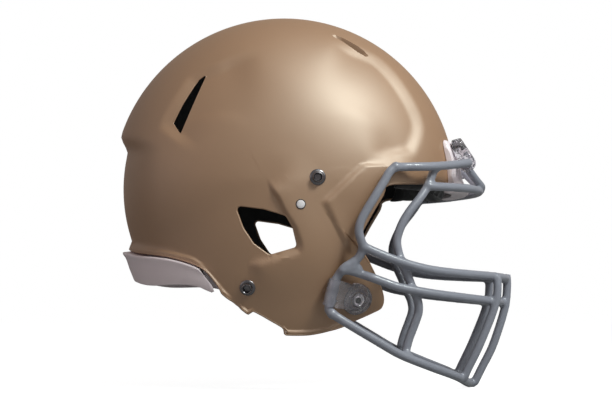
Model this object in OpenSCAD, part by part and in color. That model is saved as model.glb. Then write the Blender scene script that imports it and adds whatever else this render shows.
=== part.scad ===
// Football helmet with a swinging face guard held by quick-release side retainers.
// Millimetres. +X is the way the face looks, +Y the wearer's left, +Z up.
// The origin is the middle of the head cavity, level with the brow.

/* [Shell] */
// Radius of the crown seen from the side
crown_r = 152; // [145:0.5:158]
// Half of the shell's width over the ears
half_width = 118; // [110:1:126]
// How far the jaw flaps drop below the crown's circle
jaw_drop = 54; // [48:1:60]
// How far each jaw flap is drawn in
jaw_taper = 14; // [10:1:18]
// Step from the crown down to the flat back
back_step = 10; // [4:0.5:12]
// Thickness of the shell's wall
wall = 4; // [3.5:0.25:4.5]
// Depth of the panel between the front and rear crown bands
band_step = 3; // [1:0.25:4]
// Width of the sloping edge of a crown band
band_slope = 8; // [5:0.5:12]
// How far the neck edge flares out
lip_flare = 6; // [2:0.5:8]
// Height of the raised panel behind the face opening, and depth of the jaw's flat
cheek_step = 3; // [1:0.25:4]

/* [Face guard] */
// Radius of a coated bar
bar_r = 3.75; // [3.25:0.05:4]
// Space between a side bar and the shell
bar_space = 2.4; // [2:0.1:4]
// How far the pivot run of the top bar stands before the crown's circle
pivot_reach = 8.5; // [8.25:0.25:10]
// Height of the pivot run above the brow
pivot_height = 19.5; // [17:0.5:22]
// Radial clearance of a bar in its clip
bar_clearance = 0.05; // [0.02:0.01:0.1]

/* [Clips and retainers] */
// Distance of each brow clip from the middle
clip_side = 38; // [36:0.5:39.5]
// Width of a brow clip along the bar
clip_width = 15; // [12:0.5:17]
// Wall of the clear plastic round a bar
clip_wall = 3; // [2.5:0.1:3.4]
// Radius of the round plate of a side retainer
plate_r = 13.5; // [12:0.25:14]
// Thickness of the round plate of a side retainer
plate_t = 5.5; // [4.5:0.25:6.5]
// Wall of the side retainer round the rear leg
loop_wall = 2; // [1.6:0.1:2.2]
// Radius of the steel release pin's head
pin_head_r = 7; // [6:0.25:8]
// Radius of the release button
button_r = 2.3; // [2:0.05:2.6]
// Travel of the release button
button_travel = 2.5; // [1.5:0.1:3]
// Radial clearance of the release button
button_clearance = 0.05; // [0.02:0.01:0.1]

/* [Bumpers and pads] */
// Half of the front bumper's width
bumper_half = 54; // [50:0.5:56]
// Thickness of the front bumper over the shell
bumper_t = 5.5; // [4.5:0.25:5.75]
// Height of the rear bumper below the shell's edge
rear_bumper_h = 29; // [22:0.5:32]
// Thickness of the liner pads
pad_t = 20; // [15:0.5:24]
// Gap between a pad and the shell
pad_gap = 0.9; // [0.7:0.05:1.2]

/* [Snaps and valves] */
// Radius of a chin-strap snap's stud
snap_r = 4.5; // [4:0.05:5]
// Height of the stud's straight side
snap_h = 3; // [2.5:0.1:4]
// Radius of the washer under a stud
washer_r = 6.6; // [6.2:0.1:7.5]
// Thickness of the washer under a stud
washer_t = 1.2; // [0.8:0.1:1.6]
// Radius of a fastener's shank
shank_r = 2.5; // [2:0.05:2.8]
// Radius of the flange of a nut inside the shell
nut_r = 7; // [6:0.25:8]
// Radius of the bore that takes a pump needle
needle_r = 1.2; // [1:0.05:1.4]
// Radius of a valve's visible head
valve_r = 4; // [3.5:0.1:4.6]

/* [Hidden] */

// Roundness of a cross-section, where 2 would be an ellipse
cross_power = 2.25;
// Sizes at which the outlines' points below are drawn
drawn_r = 152;
drawn_half = 118;
grow = crown_r / drawn_r;
widen = half_width / drawn_half;
// Clearance between flat or conical faces of fixed pieces
seat = 0.3;
fine = 48;
// Sides of a swept bar
bar_sides = 10;

// Side outline of the shell's edge, from the neck's middle round the jaw to the brow's middle
neck_angle = 201.4;
brow_angle = 0.4;
edge_points = [
    [-118, -57], [-90, -62.5], [-64, -72], [-50, -86.8], [-47.6, -92.6], [-38.5, -100], [-26.6, -109.5],
    [-24.6, -110.3], [-21, -108.4], [1.6, -121.1], [6, -127.2], [14.3, -127.6], [30, -127],
    [55, -121], [80, -110], [88, -104], [88, -91], [76, -65], [66, -52],
    [72, -38], [87, -12], [91, -4], [118, -1.5], [142, 1]
];
// Stretches of that edge with a raised lip: round the neck, and under the jaw
neck_lip = concat([[-136, -54]], [for (i = [0:6]) edge_points[i]]);
jaw_lip = [for (i = [10:13]) edge_points[i]];
// Foot of each raised crown band, seen from the side
rear_band = [[-15, 114], [-39, 109], [-62, 99], [-75, 89], [-89, 69], [-99, 49], [-81, 34], [-65, 20]];
front_band = [[45, 128], [63, 118], [81, 107], [94, 99], [105, 84], [114, 62], [118, 47], [112, 26], [76, 17]];
// Foot of the raised panel behind the face opening, and line where the jaw's flat begins
face_line = [[118, 18], [100, 17], [70, 14.5], [36, -17.5], [52, -50], [61, -66]];
jaw_line = [[57, -38], [50, -75], [20, -115]];

// Ear hole's corners as x, z and corner radius
ear_corners = [[-30, -24, 4], [-12, -27.5, 4.5], [4.5, -32.5, 4.5], [9.4, -40.5, 4.2], [12.4, -52.7, 4],
    [-6, -58, 4], [-16.5, -49.5, 4]];
// Fastener places in the side view
snap_upper = [33, 2];
snap_lower = [-25, -88];
valve_at = [19, -20];
release_at = [64, -97];

function ease(t) = let (c = min(1, max(0, t))) c * c * (3 - 2 * c);
function unit(v) = v / norm(v);
function turn(x, z) = (atan2(z, x) + 360) % 360;

// Radius of the side outline at an angle, before the flat back
function outline_r(a) =
    let (d = abs(a - 268))
    crown_r + (d < 68 ? jaw_drop * pow(cos(d * 90 / 68), 2) : 0);
// The flat back takes the outline in behind the crown, and fades towards the ear
function back_r(a, q) =
    outline_r(a) - back_step * ease((a - 161.5) / 6) * ease((290 - a) / 90) * ease((q - 0.5) / 0.45);
function share(a, r, q, n) = n == 0 ? q : share(a, r, r / back_r(a, q), n - 1);
function side_share(x, z) =
    let (a = turn(x, z), r = norm([x, z]))
    share(a, r, r / outline_r(a), 5);
function width_at(x, z, q) = half_width - jaw_taper * max(0, -sin(turn(x, z))) * min(q, 1);

// Half width of the shell's form at a place in the side view
function half_y(x, z) =
    let (q = side_share(x, z))
    q >= 1 ? 0 : width_at(x, z, q) * pow(1 - pow(q, cross_power), 1 / cross_power);
function level(p) =
    let (q = side_share(p[0], p[2]))
    pow(q, cross_power) + pow(abs(p[1]) / width_at(p[0], p[2], q), cross_power);
probe = 0.05;
function normal_at(p) = unit([
    level(p + [probe, 0, 0]) - level(p - [probe, 0, 0]),
    abs(p[1]) < 0.2 ? 0 : level(p + [0, probe, 0]) - level(p - [0, probe, 0]),
    level(p + [0, 0, probe]) - level(p - [0, 0, probe])
]);
// A point of the right side above a place in the side view
function side_point(x, z) = [x, -half_y(x, z), z];
// A point at a side angle and a sideways angle, for pieces that cross the middle
function round_point(a, b) =
    let (q = outline_r(a) / crown_r, u = [cos(b) * cos(a), -sin(b), cos(b) * sin(a)],
         back = back_r(a, cos(b)) / outline_r(a))
    u * pow(pow(cos(b) / (crown_r * q * back), cross_power)
            + pow(abs(sin(b)) / width_at(u[0], u[2], cos(b)), cross_power), -1 / cross_power);

// Distance to a line of points, with the side of it and the way along it
function seg_near(p, a, b) = let (t = min(1, max(0, (p - a) * (b - a) / ((b - a) * (b - a))))) a + t * (b - a);
function seg_side(p, a, b) = (b[0] - a[0]) * (p[1] - a[1]) - (b[1] - a[1]) * (p[0] - a[0]);
function line_feet(p, line) = [for (i = [0:len(line) - 2]) seg_near(p, line[i], line[i + 1])];
function line_hits(p, line) = [for (q = line_feet(p, line)) norm(p - q)];
function first_at(list, v) = [for (i = [0:len(list) - 1]) if (list[i] <= v) i][0];
function line_depth(p, line, slope, reach) =
    let (feet = line_feet(p, line), hits = [for (q = feet) norm(p - q)], d = min(hits), i = first_at(hits, d),
         inside = seg_side(p, line[i], line[i + 1]) > 0,
         ends = min(norm(feet[i] - line[0]), norm(feet[i] - line[len(line) - 1])))
    inside ? ease(d / slope) * (1 - ease((d - slope) / reach)) * ease(ends / 25) : 0;
// Height of the surface over the plain form: sunk panel, cheek flat and flared neck edge
function relief(x, z) =
    let (p = [x, z] / grow, near = min(min(line_hits(p, neck_lip)), 5 + min(line_hits(p, jaw_lip))))
    -band_step * max(line_depth(p, rear_band, band_slope, 70), line_depth(p, [for (i = [len(front_band) - 1:-1:0])
        front_band[i]], band_slope, 70))
    + cheek_step * (line_depth(p, face_line, 6, 60) - line_depth(p, jaw_line, 12, 60))
    + lip_flare * (1 - ease(near / 11)) * (0.35 + 0.65 * ease((-x - 60) / 70));

// A curve through points, and a round bar swept along it
function curve_step(a, b, c, d, t) =
    (2 * b + (c - a) * t + (2 * a - 5 * b + 4 * c - d) * t * t + (3 * b - a - 3 * c + d) * t * t * t) / 2;
function curve(pts, n) = [
    for (i = [0:len(pts) - 2]) for (s = [0:n - 1])
        curve_step(pts[max(i - 1, 0)], pts[i], pts[i + 1], pts[min(i + 2, len(pts) - 1)], s / n),
    pts[len(pts) - 1]
];
function reversed(list) = [for (i = [len(list) - 1:-1:0]) list[i]];
function flipped(list) = [for (p = reversed(list)) [p[0], -p[1], p[2]]];
function across(list) = concat(list, [for (i = [len(list) - 2:-1:0]) [list[i][0], -list[i][1], list[i][2]]]);
module swept(path, ref, r = bar_r) {
    last = len(path) - 1;
    rings = [for (i = [0:last])
        let (t = unit(path[min(i + 1, last)] - path[max(i - 1, 0)]), u = unit(cross(t, ref)), v = cross(t, u))
        for (k = [0:bar_sides - 1]) path[i] + r * (cos(k * 360 / bar_sides) * u + sin(k * 360 / bar_sides) * v)];
    sides = [for (i = [0:last - 1]) for (k = [0:bar_sides - 1])
        let (a = i * bar_sides + k, b = i * bar_sides + (k + 1) % bar_sides)
        each [[a, a + bar_sides, b], [b, a + bar_sides, b + bar_sides]]];
    cap = [for (k = [0:bar_sides - 1]) k];
    polyhedron(rings, concat(sides, [cap], [[for (k = reversed(cap)) last * bar_sides + k]]));
}
// A closed solid between two sheets of points, given row by row
module sheet(top, bottom) {
    m = len(top);
    n = len(top[0]);
    pts = concat([for (row = top) each row], [for (row = bottom) each row]);
    quads = [for (i = [0:m - 2]) for (j = [0:n - 2]) let (a = i * n + j)
        each [[a, a + 1, a + n], [a + 1, a + n + 1, a + n],
              [m * n + a, m * n + a + n, m * n + a + 1], [m * n + a + 1, m * n + a + n, m * n + a + n + 1]]];
    rim = concat([for (j = [0:n - 1]) j], [for (i = [1:m - 1]) i * n + n - 1],
                 [for (j = [n - 2:-1:0]) (m - 1) * n + j], [for (i = [m - 2:-1:1]) i * n]);
    walls = [for (i = [0:len(rim) - 1]) let (a = rim[i], b = rim[(i + 1) % len(rim)])
        each [[a, m * n + a, b], [b, m * n + a, m * n + b]]];
    polyhedron(pts, concat(quads, walls));
}
// A closed ring of section points swept from station to station, with the triangles of its ends
module lofted(stations, ends) {
    m = len(stations);
    n = len(stations[0]);
    sides = [for (i = [0:m - 2]) for (k = [0:n - 1]) let (a = i * n + k, b = i * n + (k + 1) % n)
        each [[a, a + n, b], [b, a + n, b + n]]];
    polyhedron([for (s = stations) each s],
               concat(sides, ends, [for (t = ends) [for (k = reversed(t)) (m - 1) * n + k]]));
}
module both_sides() {
    children();
    mirror([0, 1, 0]) children();
}
module on_side(left) {
    if (left) mirror([0, 1, 0]) children();
    else children();
}
// Stand a child on a point with its own Z along a direction
module stand(p, n) {
    translate(p) rotate([0, acos(n[2]), atan2(n[1], n[0])]) children();
}
// Stand a child on the shell's right side
module stand_on_side(at) {
    base = side_point(at[0] * grow, at[1] * grow);
    n = normal_at(base);
    stand(base + relief(base[0], base[2]) * n, n) children();
}

// Shell: a wall between the form and its inner offset, drawn as rings about a point of the side
ring_count = 10;
crown_steps = 34;
hub = [-20, 10] * grow;
crown_edge = [for (i = [0:crown_steps]) let (a = brow_angle + (neck_angle - brow_angle) * i / crown_steps)
    back_r(a, 1) * [cos(a), sin(a)]];
lower_edge = curve(concat([crown_edge[crown_steps]], edge_points * grow, [crown_edge[0]]), 2);
shell_edge = concat(crown_edge, [for (i = [1:len(lower_edge) - 2]) lower_edge[i]]);
edge_count = len(shell_edge);
function shell_out(i, j) =
    let (s = sin(90 * j / ring_count), p = hub + (shell_edge[i] - hub) * s,
         middle = j == ring_count && i <= crown_steps)
    middle ? [p[0], 0, p[1]] : side_point(p[0], p[1]);
module shell_wall() {
    base = concat([side_point(hub[0], hub[1])],
                  [for (j = [1:ring_count]) for (i = [0:edge_count - 1]) shell_out(i, j)]);
    normals = [for (p = base) normal_at(p)];
    rise = [for (p = base) relief(p[0], p[2])];
    outer = [for (k = [0:len(base) - 1]) base[k] + rise[k] * normals[k]];
    inner = [for (k = [0:len(base) - 1]) base[k] + (rise[k] - wall) * normals[k]];
    count = len(base);
    points = concat(outer, inner, [for (p = outer) [p[0], -p[1], p[2]]], [for (p = inner) [p[0], -p[1], p[2]]]);
    function id(i, j) = j == 0 ? 0 : 1 + (j - 1) * edge_count + i % edge_count;
    function joined(i, j) = j == ring_count && i % edge_count <= crown_steps;
    function right(i, j, layer) = layer * count + id(i, j);
    function left(i, j, layer) = (joined(i, j) ? 0 : 2 * count) + layer * count + id(i, j);
    skin = [for (layer = [0, 1]) for (i = [0:edge_count - 1]) for (j = [0:ring_count - 1])
        let (a = [right(i, j, layer), right(i + 1, j, layer), right(i, j + 1, layer), right(i + 1, j + 1, layer)],
             b = [left(i, j, layer), left(i + 1, j, layer), left(i, j + 1, layer), left(i + 1, j + 1, layer)],
             tri = concat(j == 0 ? [] : [[a[0], a[2], a[1]]], [[a[1], a[2], a[3]]],
                          j == 0 ? [] : [[b[0], b[1], b[2]]], [[b[1], b[3], b[2]]]))
        each layer == 1 ? tri : [for (t = tri) reversed(t)]];
    rim = [for (i = [crown_steps:edge_count - 1])
        let (a = right(i, ring_count, 0), b = right(i + 1, ring_count, 0),
             c = right(i, ring_count, 1), d = right(i + 1, ring_count, 1),
             e = left(i, ring_count, 0), f = left(i + 1, ring_count, 0),
             g = left(i, ring_count, 1), h = left(i + 1, ring_count, 1))
        each [[a, b, c], [b, d, c], [e, g, f], [f, g, h]]];
    polyhedron(points, concat(skin, rim));
}
// A hole along the wall's own normal, with a slightly opened mouth
module fastener_hole(r) {
    hull() {
        translate([0, 0, -3 * wall]) cylinder(h = 1, r = r, $fn = 16);
        translate([0, 0, wall]) cylinder(h = 1, r = r, $fn = 16);
    }
}
module side_prism(points, r) {
    hull() for (p = points) translate([p[0] * grow, 0, p[1] * grow]) rotate([90, 0, 0])
        cylinder(h = 2.2 * half_width, r = r, center = true, $fn = 16);
}
module shell() {
    color([0.72, 0.60, 0.46]) difference() {
        shell_wall();
        hull() for (c = ear_corners) translate([c[0] * grow, 0, c[1] * grow]) rotate([90, 0, 0])
            cylinder(h = 2.2 * half_width, r = c[2], center = true, $fn = 24);
        side_prism([[-62.8, 89.6], [-67.2, 86.6], [-71.4, 80.6], [-80.8, 64.6], [-87.9, 49.7], [-82, 41.3]], 1);
        both_sides() hull() for (p = [[46, 127.5], [60, 118], [61, 115.5], [74, 109]])
            translate([p[0] * grow, -70 * widen, p[1] * grow]) rotate([90, 0, 0])
                cylinder(h = 60, r = 0.9, center = true, $fn = 12);
        both_sides() {
            stand_on_side(snap_upper) fastener_hole(shank_r + seat);
            stand_on_side(snap_lower) fastener_hole(shank_r + seat);
            stand_on_side(valve_at) fastener_hole(valve_r - 1 + seat);
            stand_on_side(release_at) fastener_hole(pin_head_r - 2 + seat);
            stand_brow_screw() fastener_hole(shank_r + seat);
            stand_rear_screw() hull() {
                translate([0, 0, -wall - 4]) cylinder(h = 1, r = shank_r + seat, $fn = 16);
                translate([0, 0, -blind - 1]) cylinder(h = 1, r = shank_r + seat, $fn = 16);
            }
        }
    }
}

// Front bumper: a bar of rubber over the brow's edge, thicker at its lower lip
function brow_x(y, z) =
    let (r = crown_r * pow(1 - pow(abs(y) / half_width, cross_power), 1 / cross_power))
    sqrt(r * r - z * z);
function brow_point(y, z, off) =
    let (p = [brow_x(y, z), y, z], n = normal_at(p), h = unit([n[0], n[1], 0]))
    p + off * h;
bumper_top = 41;
bumper_section = [
    [bumper_top, seat], [bumper_top, 1.2], [bumper_top - 6, bumper_t - 2], [26, bumper_t], [10, bumper_t],
    [3, bumper_t + 3], [-3, bumper_t + 6], [-7, bumper_t + 5.5], [-8.5, bumper_t + 2],
    [-7, -wall], [0.4, -wall], [0.4, 0], [4, seat], [22, seat]
];
bumper_ends = [[0, 1, 2], [0, 2, 13], [2, 3, 13], [3, 4, 13], [4, 12, 13], [4, 5, 12], [5, 11, 12], [5, 6, 11],
    [6, 8, 11], [6, 7, 8], [8, 9, 11], [9, 10, 11]];
bumper_stations = 18;
module front_bumper() {
    color([0.93, 0.93, 0.93]) difference() {
        lofted([for (i = [0:bumper_stations])
            let (y = -bumper_half + 2 * bumper_half * i / bumper_stations,
                 thin = 1 - 0.35 * pow(abs(y) / bumper_half, 4))
            [for (s = bumper_section) brow_point(y, s[0], s[1] > bumper_t ? s[1] * thin : s[1])]], bumper_ends);
        both_sides() stand_brow_screw() cylinder(h = 60, r = shank_r + seat, center = true, $fn = fine);
    }
}

// Brow clips: clear blocks on the bumper, each with a bore that the top bar turns in
pivot = [crown_r + pivot_reach, 0, pivot_height];
screw_height = 34;
brow_base = brow_point(-clip_side, screw_height, bumper_t);
clip_normal = normal_at(brow_point(-clip_side, screw_height, 0));
// The brow screw stands where the clip lies on the bumper
module stand_brow_screw() {
    stand(brow_base, clip_normal) children();
}
clip_t = 4;
module brow_clip() {
    r = bar_r + clip_wall;
    color([0.85, 0.87, 0.90, 0.5]) difference() {
        hull() {
            stand_brow_screw() translate([0, 0, 0.7]) cylinder(h = clip_t, r = 7, $fn = 32);
            translate([pivot[0], -clip_side, pivot[2]]) rotate([90, 0, 0])
                cylinder(h = clip_width, r = r, center = true, $fn = 32);
        }
        translate([pivot[0], -clip_side, pivot[2]]) rotate([90, 0, 0])
            cylinder(h = 2 * clip_width, r = bar_r + bar_clearance, center = true, $fn = fine);
        stand_brow_screw() cylinder(h = 60, r = shank_r + seat, center = true, $fn = fine);
        stand_brow_screw() translate([0, 0, clip_t - 0.6]) cylinder(h = 20, r = shank_r + 2.3, $fn = fine);
    }
}
module brow_clip_right() brow_clip();
module brow_clip_left() mirror([0, 1, 0]) brow_clip();

// A pan-head screw whose head stands on z = 0 and whose shank runs inwards
module screw(head_r, head_h, shank) {
    difference() {
        union() {
            cylinder(h = head_h * 0.55, r = head_r, $fn = fine);
            translate([0, 0, head_h * 0.55]) cylinder(h = head_h * 0.45, r1 = head_r, r2 = head_r * 0.7, $fn = fine);
            translate([0, 0, -shank]) cylinder(h = shank + 0.5, r = shank_r, $fn = fine);
        }
        translate([0, 0, head_h * 0.4]) cylinder(h = head_h, r = head_r * 0.4, $fn = 6);
    }
}
// A flanged nut inside the shell, with its flange's face on z = 0 and its bore upwards
module flanged_nut(barrel) {
    difference() {
        union() {
            translate([0, 0, -1.5]) cylinder(h = 1.5, r = nut_r, $fn = fine);
            translate([0, 0, -barrel]) cylinder(h = barrel, r = shank_r + 1.6, $fn = fine);
        }
        translate([0, 0, -barrel - 1]) cylinder(h = barrel + 2, r = shank_r + 0.05, $fn = fine);
    }
}
module brow_clip_screws() {
    color([0.75, 0.75, 0.77]) both_sides() stand_brow_screw()
        translate([0, 0, clip_t - 0.4]) screw(shank_r + 2, 2.4, clip_t + bumper_t + wall + 6);
}
module brow_clip_nuts() {
    color([0.55, 0.55, 0.57]) both_sides() stand_brow_screw()
        translate([0, 0, -bumper_t - wall - 2.4]) flanged_nut(5);
}

// Rear bumper: a white strip under the neck's edge, with a tongue up inside the shell
function neck_x(z) = -sqrt(pow(back_r(turn(-1, z / crown_r), 1), 2) - z * z);
neck_line = [for (i = [0:8]) lower_edge[i]];
rear_end = -66 * grow;
// Share of the flare by which the neck edge itself comes lower
lip_drop = 0.4;
function rear_top(t) =
    let (start = neck_line[0][0])
    lookup(start + (rear_end - start) * (1 - cos(90 * abs(t))), neck_line);
function rear_point(t, dz, off) =
    let (f = min(1, max(0, -dz / rear_bumper_h)), z = rear_top(t) + dz * (1 - 0.42 * f * pow(abs(t), 2)),
         start = neck_x(z), stop = rear_end + 16 * f * grow,
         p = side_point(start + (stop - start) * (1 - cos(90 * abs(t))), z), n = normal_at(p),
         drop = lip_drop * relief(p[0], rear_top(t)))
    [p[0] + off * n[0], (p[1] + off * n[1]) * (t > 0 ? -1 : 1), z + 0.3 * off * n[2] - drop];
rear_outer = lip_flare + 5.5;
tongue_t = 2.8;
tongue_h = 13;
rear_section = [
    [-1.1, rear_outer - 0.6], [-2.3, rear_outer], [-rear_bumper_h + 2, 9.4], [-rear_bumper_h, 8],
    [-rear_bumper_h, 3.4], [-0.4 * rear_bumper_h, -wall - tongue_t - 0.9], [tongue_h, -wall - tongue_t - 0.9],
    [tongue_h, -wall - 0.9], [-1.1, -wall - 0.9]
];
rear_ends = [[0, 1, 8], [1, 2, 8], [2, 3, 4], [2, 4, 5], [2, 5, 8], [5, 6, 8], [6, 7, 8]];
rear_stations = 20;
module rear_bumper() {
    color([0.90, 0.90, 0.91]) difference() {
        lofted([for (i = [0:rear_stations]) let (t = 1 - 2 * i / rear_stations)
            [for (s = rear_section) rear_point(t, s[0], s[1] > 0 ? s[1] * (1 - 0.5 * pow(abs(t), 1.5)) : s[1])]],
            rear_ends);
        both_sides() stand_rear_screw() cylinder(h = 60, r = shank_r + seat, center = true, $fn = fine);
    }
}
// The bumper's tongue is screwed to the shell from inside, in a blind hole
rear_screw_side = -0.4;
blind = 1;
module stand_rear_screw() {
    p = rear_point(rear_screw_side, tongue_h / 2, 0);
    stand(p, normal_at(p)) children();
}
module rear_bumper_screws() {
    color([0.75, 0.75, 0.77]) both_sides() stand_rear_screw()
        translate([0, 0, -wall - tongue_t - 0.9 - seat]) rotate([180, 0, 0])
        screw(5, 2.6, wall + tongue_t + 0.9 - blind - 0.4);
}

// Chin-strap snaps: a steel stud on a washer, screwed into a flanged nut inside
module at_snaps() {
    both_sides() {
        stand_on_side(snap_upper) children();
        stand_on_side(snap_lower) children();
    }
}
module snap_studs() {
    color([0.78, 0.78, 0.80]) at_snaps() difference() {
        union() {
            translate([0, 0, washer_t + 0.2]) cylinder(h = snap_h, r = snap_r, $fn = fine);
            translate([0, 0, washer_t + 0.2 + snap_h])
                cylinder(h = 0.9, r1 = snap_r, r2 = snap_r - 1, $fn = fine);
            translate([0, 0, -wall - 5]) cylinder(h = wall + 6 + washer_t, r = shank_r, $fn = fine);
        }
        translate([0, 0, washer_t + snap_h - 1]) cylinder(h = 4, r = 1.9, $fn = 6);
    }
}
module snap_washers() {
    color([0.66, 0.66, 0.68]) at_snaps() translate([0, 0, 0.2]) difference() {
        cylinder(h = washer_t, r1 = washer_r, r2 = washer_r - 0.5, $fn = fine);
        translate([0, 0, -1]) cylinder(h = washer_t + 2, r = shank_r + 0.05, $fn = fine);
    }
}
module snap_nuts() {
    color([0.55, 0.55, 0.57]) at_snaps() translate([0, 0, -wall - 1.6]) flanged_nut(4);
}

// Air valves of the side liner, each with a bore for the pump's needle
module air_valves() {
    color([0.95, 0.95, 0.95]) both_sides() stand_on_side(valve_at) difference() {
        union() {
            translate([0, 0, 0.25]) cylinder(h = 0.9, r = valve_r, $fn = fine);
            translate([0, 0, -wall - 6]) cylinder(h = wall + 7, r = valve_r - 1, $fn = fine);
            translate([0, 0, -wall - 3]) cylinder(h = 2, r = valve_r + 1, $fn = fine);
        }
        translate([0, 0, -wall - 4]) cylinder(h = wall + 8, r = needle_r, $fn = fine);
    }
}

// Quick-release fastening: a steel receptacle in the jaw and a sprung pin in the retainer
plate_rise = 1.5;
module receptacle() {
    color([0.60, 0.60, 0.62]) stand_on_side(release_at) difference() {
        union() {
            translate([0, 0, -wall - 2]) cylinder(h = wall + 2 + plate_rise - 0.4, r = pin_head_r - 2, $fn = fine);
            translate([0, 0, -wall - 2.6]) cylinder(h = 1.8, r = pin_head_r + 1, $fn = fine);
        }
        translate([0, 0, -wall - 4]) cylinder(h = wall + 8, r = pin_head_r - 4, $fn = fine);
    }
}
module receptacle_right() receptacle();
module receptacle_left() mirror([0, 1, 0]) receptacle();

// Liner: cushions between the shell and the head, each set off the shell's inner face
function swell(u, v) = pow(sin(180 * min(1, max(0, u))) * sin(180 * min(1, max(0, v))), 0.35);
pad_rows = 7;
pad_edge = 0.1;
// Depth of a pad's outer face (layer 0) and inner face (layer 1) below the plain form
function pad_depth(p, u, v, t, layer) =
    wall + pad_gap - relief(p[0], p[2])
    + t * (layer == 0 ? pad_edge * (1 - swell(u, v)) : 0.45 + 0.55 * swell(u, v));
function pad_point(p, u, v, t, layer) = p - pad_depth(p, u, v, t, layer) * normal_at(p);
// A pad across the middle, between two heights, with its own half width at each
module middle_pad(a0, a1, b0, b1, t) {
    faces = [for (layer = [0, 1]) [for (i = [0:pad_rows]) [for (j = [0:pad_rows])
        let (u = i / pad_rows, v = j / pad_rows, b = (2 * v - 1) * (b0 + (b1 - b0) * u))
        pad_point(round_point(a0 + (a1 - a0) * u, b), u, v, t, layer)]]];
    sheet(faces[0], faces[1]);
}
module crown_pad(a0, a1, b0, b1, t) {
    faces = [for (layer = [0, 1]) [for (i = [0:pad_rows]) [for (j = [0:pad_rows])
        let (u = i / pad_rows, v = j / pad_rows)
        pad_point(round_point(a0 + (a1 - a0) * u, b0 + (b1 - b0) * v), u, v, t, layer)]]];
    sheet(faces[0], faces[1]);
}
function between(c, u, v) = (c[0] * (1 - u) + c[1] * u) * (1 - v) + (c[3] * (1 - u) + c[2] * u) * v;
// A pad on the right side, between four corners of the side view
module side_pad(corners, t, sink) {
    faces = [for (layer = [0, 1]) [for (i = [0:pad_rows]) [for (j = [0:pad_rows])
        let (u = i / pad_rows, v = j / pad_rows, s = between(corners * grow, u, v), p = side_point(s[0], s[1]))
        pad_point(p, u, v, t, layer) - sink * normal_at(p)]]];
    sheet(faces[0], faces[1]);
}
module front_pad() {
    color([0.10, 0.10, 0.11]) difference() {
        middle_pad(-5, 34, 45, 32, pad_t);
        both_sides() stand_brow_screw() translate([0, 0, -bumper_t - wall - 9])
            cylinder(h = 12, r = nut_r + 1, $fn = fine);
    }
}
module crown_pads() {
    color([0.12, 0.12, 0.13]) {
        crown_pad(66, 114, -15, 15, pad_t + 2);
        both_sides() crown_pad(62, 88, 17, 44, pad_t + 2);
        both_sides() crown_pad(92, 118, 17, 44, pad_t + 2);
    }
}
module back_pad() {
    color([0.10, 0.10, 0.11]) middle_pad(122, 160, 34, 34, pad_t);
}
module neck_pad() {
    color([0.10, 0.10, 0.11]) middle_pad(166, 192, 38, 38, pad_t - 2);
}
module temple_pad() {
    color([0.13, 0.13, 0.14]) side_pad([[-48, 12], [62, 12], [54, 50], [-48, 50]], pad_t - 2, 0);
}
module temple_pad_right() temple_pad();
module temple_pad_left() mirror([0, 1, 0]) temple_pad();
module cheek_pad() {
    color([0.10, 0.10, 0.11]) side_pad([[36, -50], [68, -52], [89, -9], [52, -2]], pad_t - 10, 0.3);
}
module cheek_pad_right() cheek_pad();
module cheek_pad_left() mirror([0, 1, 0]) cheek_pad();
module jaw_pad() {
    color([0.10, 0.10, 0.11]) difference() {
        side_pad([[20, -112], [72, -104], [64, -56], [26, -66]], pad_t - 5, 0.4);
        stand_on_side(release_at) translate([0, 0, -wall - 4]) cylinder(h = 12, r = pin_head_r + 2, $fn = fine);
    }
}
module jaw_pad_right() jaw_pad();
module jaw_pad_left() mirror([0, 1, 0]) jaw_pad();

// Face guard: bent steel bars with a thick coating, welded where they cross
function beside(x, z, extra) =
    [x * grow, -(half_y(x * grow, z * grow) + bar_space + bar_r) - extra, z * grow];
function fore(p) = [p[0] * grow, p[1] * widen, p[2] * grow];
// A point so far ahead of the brow, and so far in from the shell's widest part
function ahead(out, inset, z) = let (y = half_width - inset) [brow_x(y, z) + out, -y, z];
run_in = clip_side - 11;
run_out = clip_side + 11;
top_corner = beside(97, 11, 6);
top_side = [top_corner, beside(105, 11.5, 5), ahead(24.47, 20, 12), ahead(21.2, 32, 13.5),
    ahead(19.01, 48, 16), [pivot[0] - 1.6, -run_out - 6, pivot[2] - 0.8], [pivot[0], -run_out, pivot[2]]];
top_dip = [[pivot[0], -run_in, pivot[2]], [pivot[0] + 2, -run_in + 6, pivot[2] - 3.5],
    [pivot[0] + 9, -run_in + 14, pivot[2] - 12], [crown_r + 22.5, -5, 2.6], [crown_r + 23, 0, 1.6]];
module top_bar() {
    guard_paint() {
        both_sides() swept(curve(top_side, 4), [0, 0, 1]);
        both_sides() translate([pivot[0], -run_in + 0.4, pivot[2]]) rotate([90, 0, 0])
            cylinder(h = run_out - run_in + 0.8, r = bar_r, $fn = fine);
        swept(curve(across(top_dip), 3), [0, 0, 1]);
    }
}
module guard_paint() {
    color([0.50, 0.50, 0.54]) children();
}
// The brow bar carries the dip of the top bar at the middle
brow_half = [ahead(14.04, 30, -3.4), ahead(15.23, 35.5, -3.4), ahead(16.24, 49, -3), ahead(17.24, 68, -2.6),
    ahead(19.49, 91, -2.4), [crown_r + 20, -9, -2.4], [crown_r + 20.6, 0, -2.4]];
module brow_bar() guard_paint() swept(curve(across(brow_half), 3), [0, 0, 1]);
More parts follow.
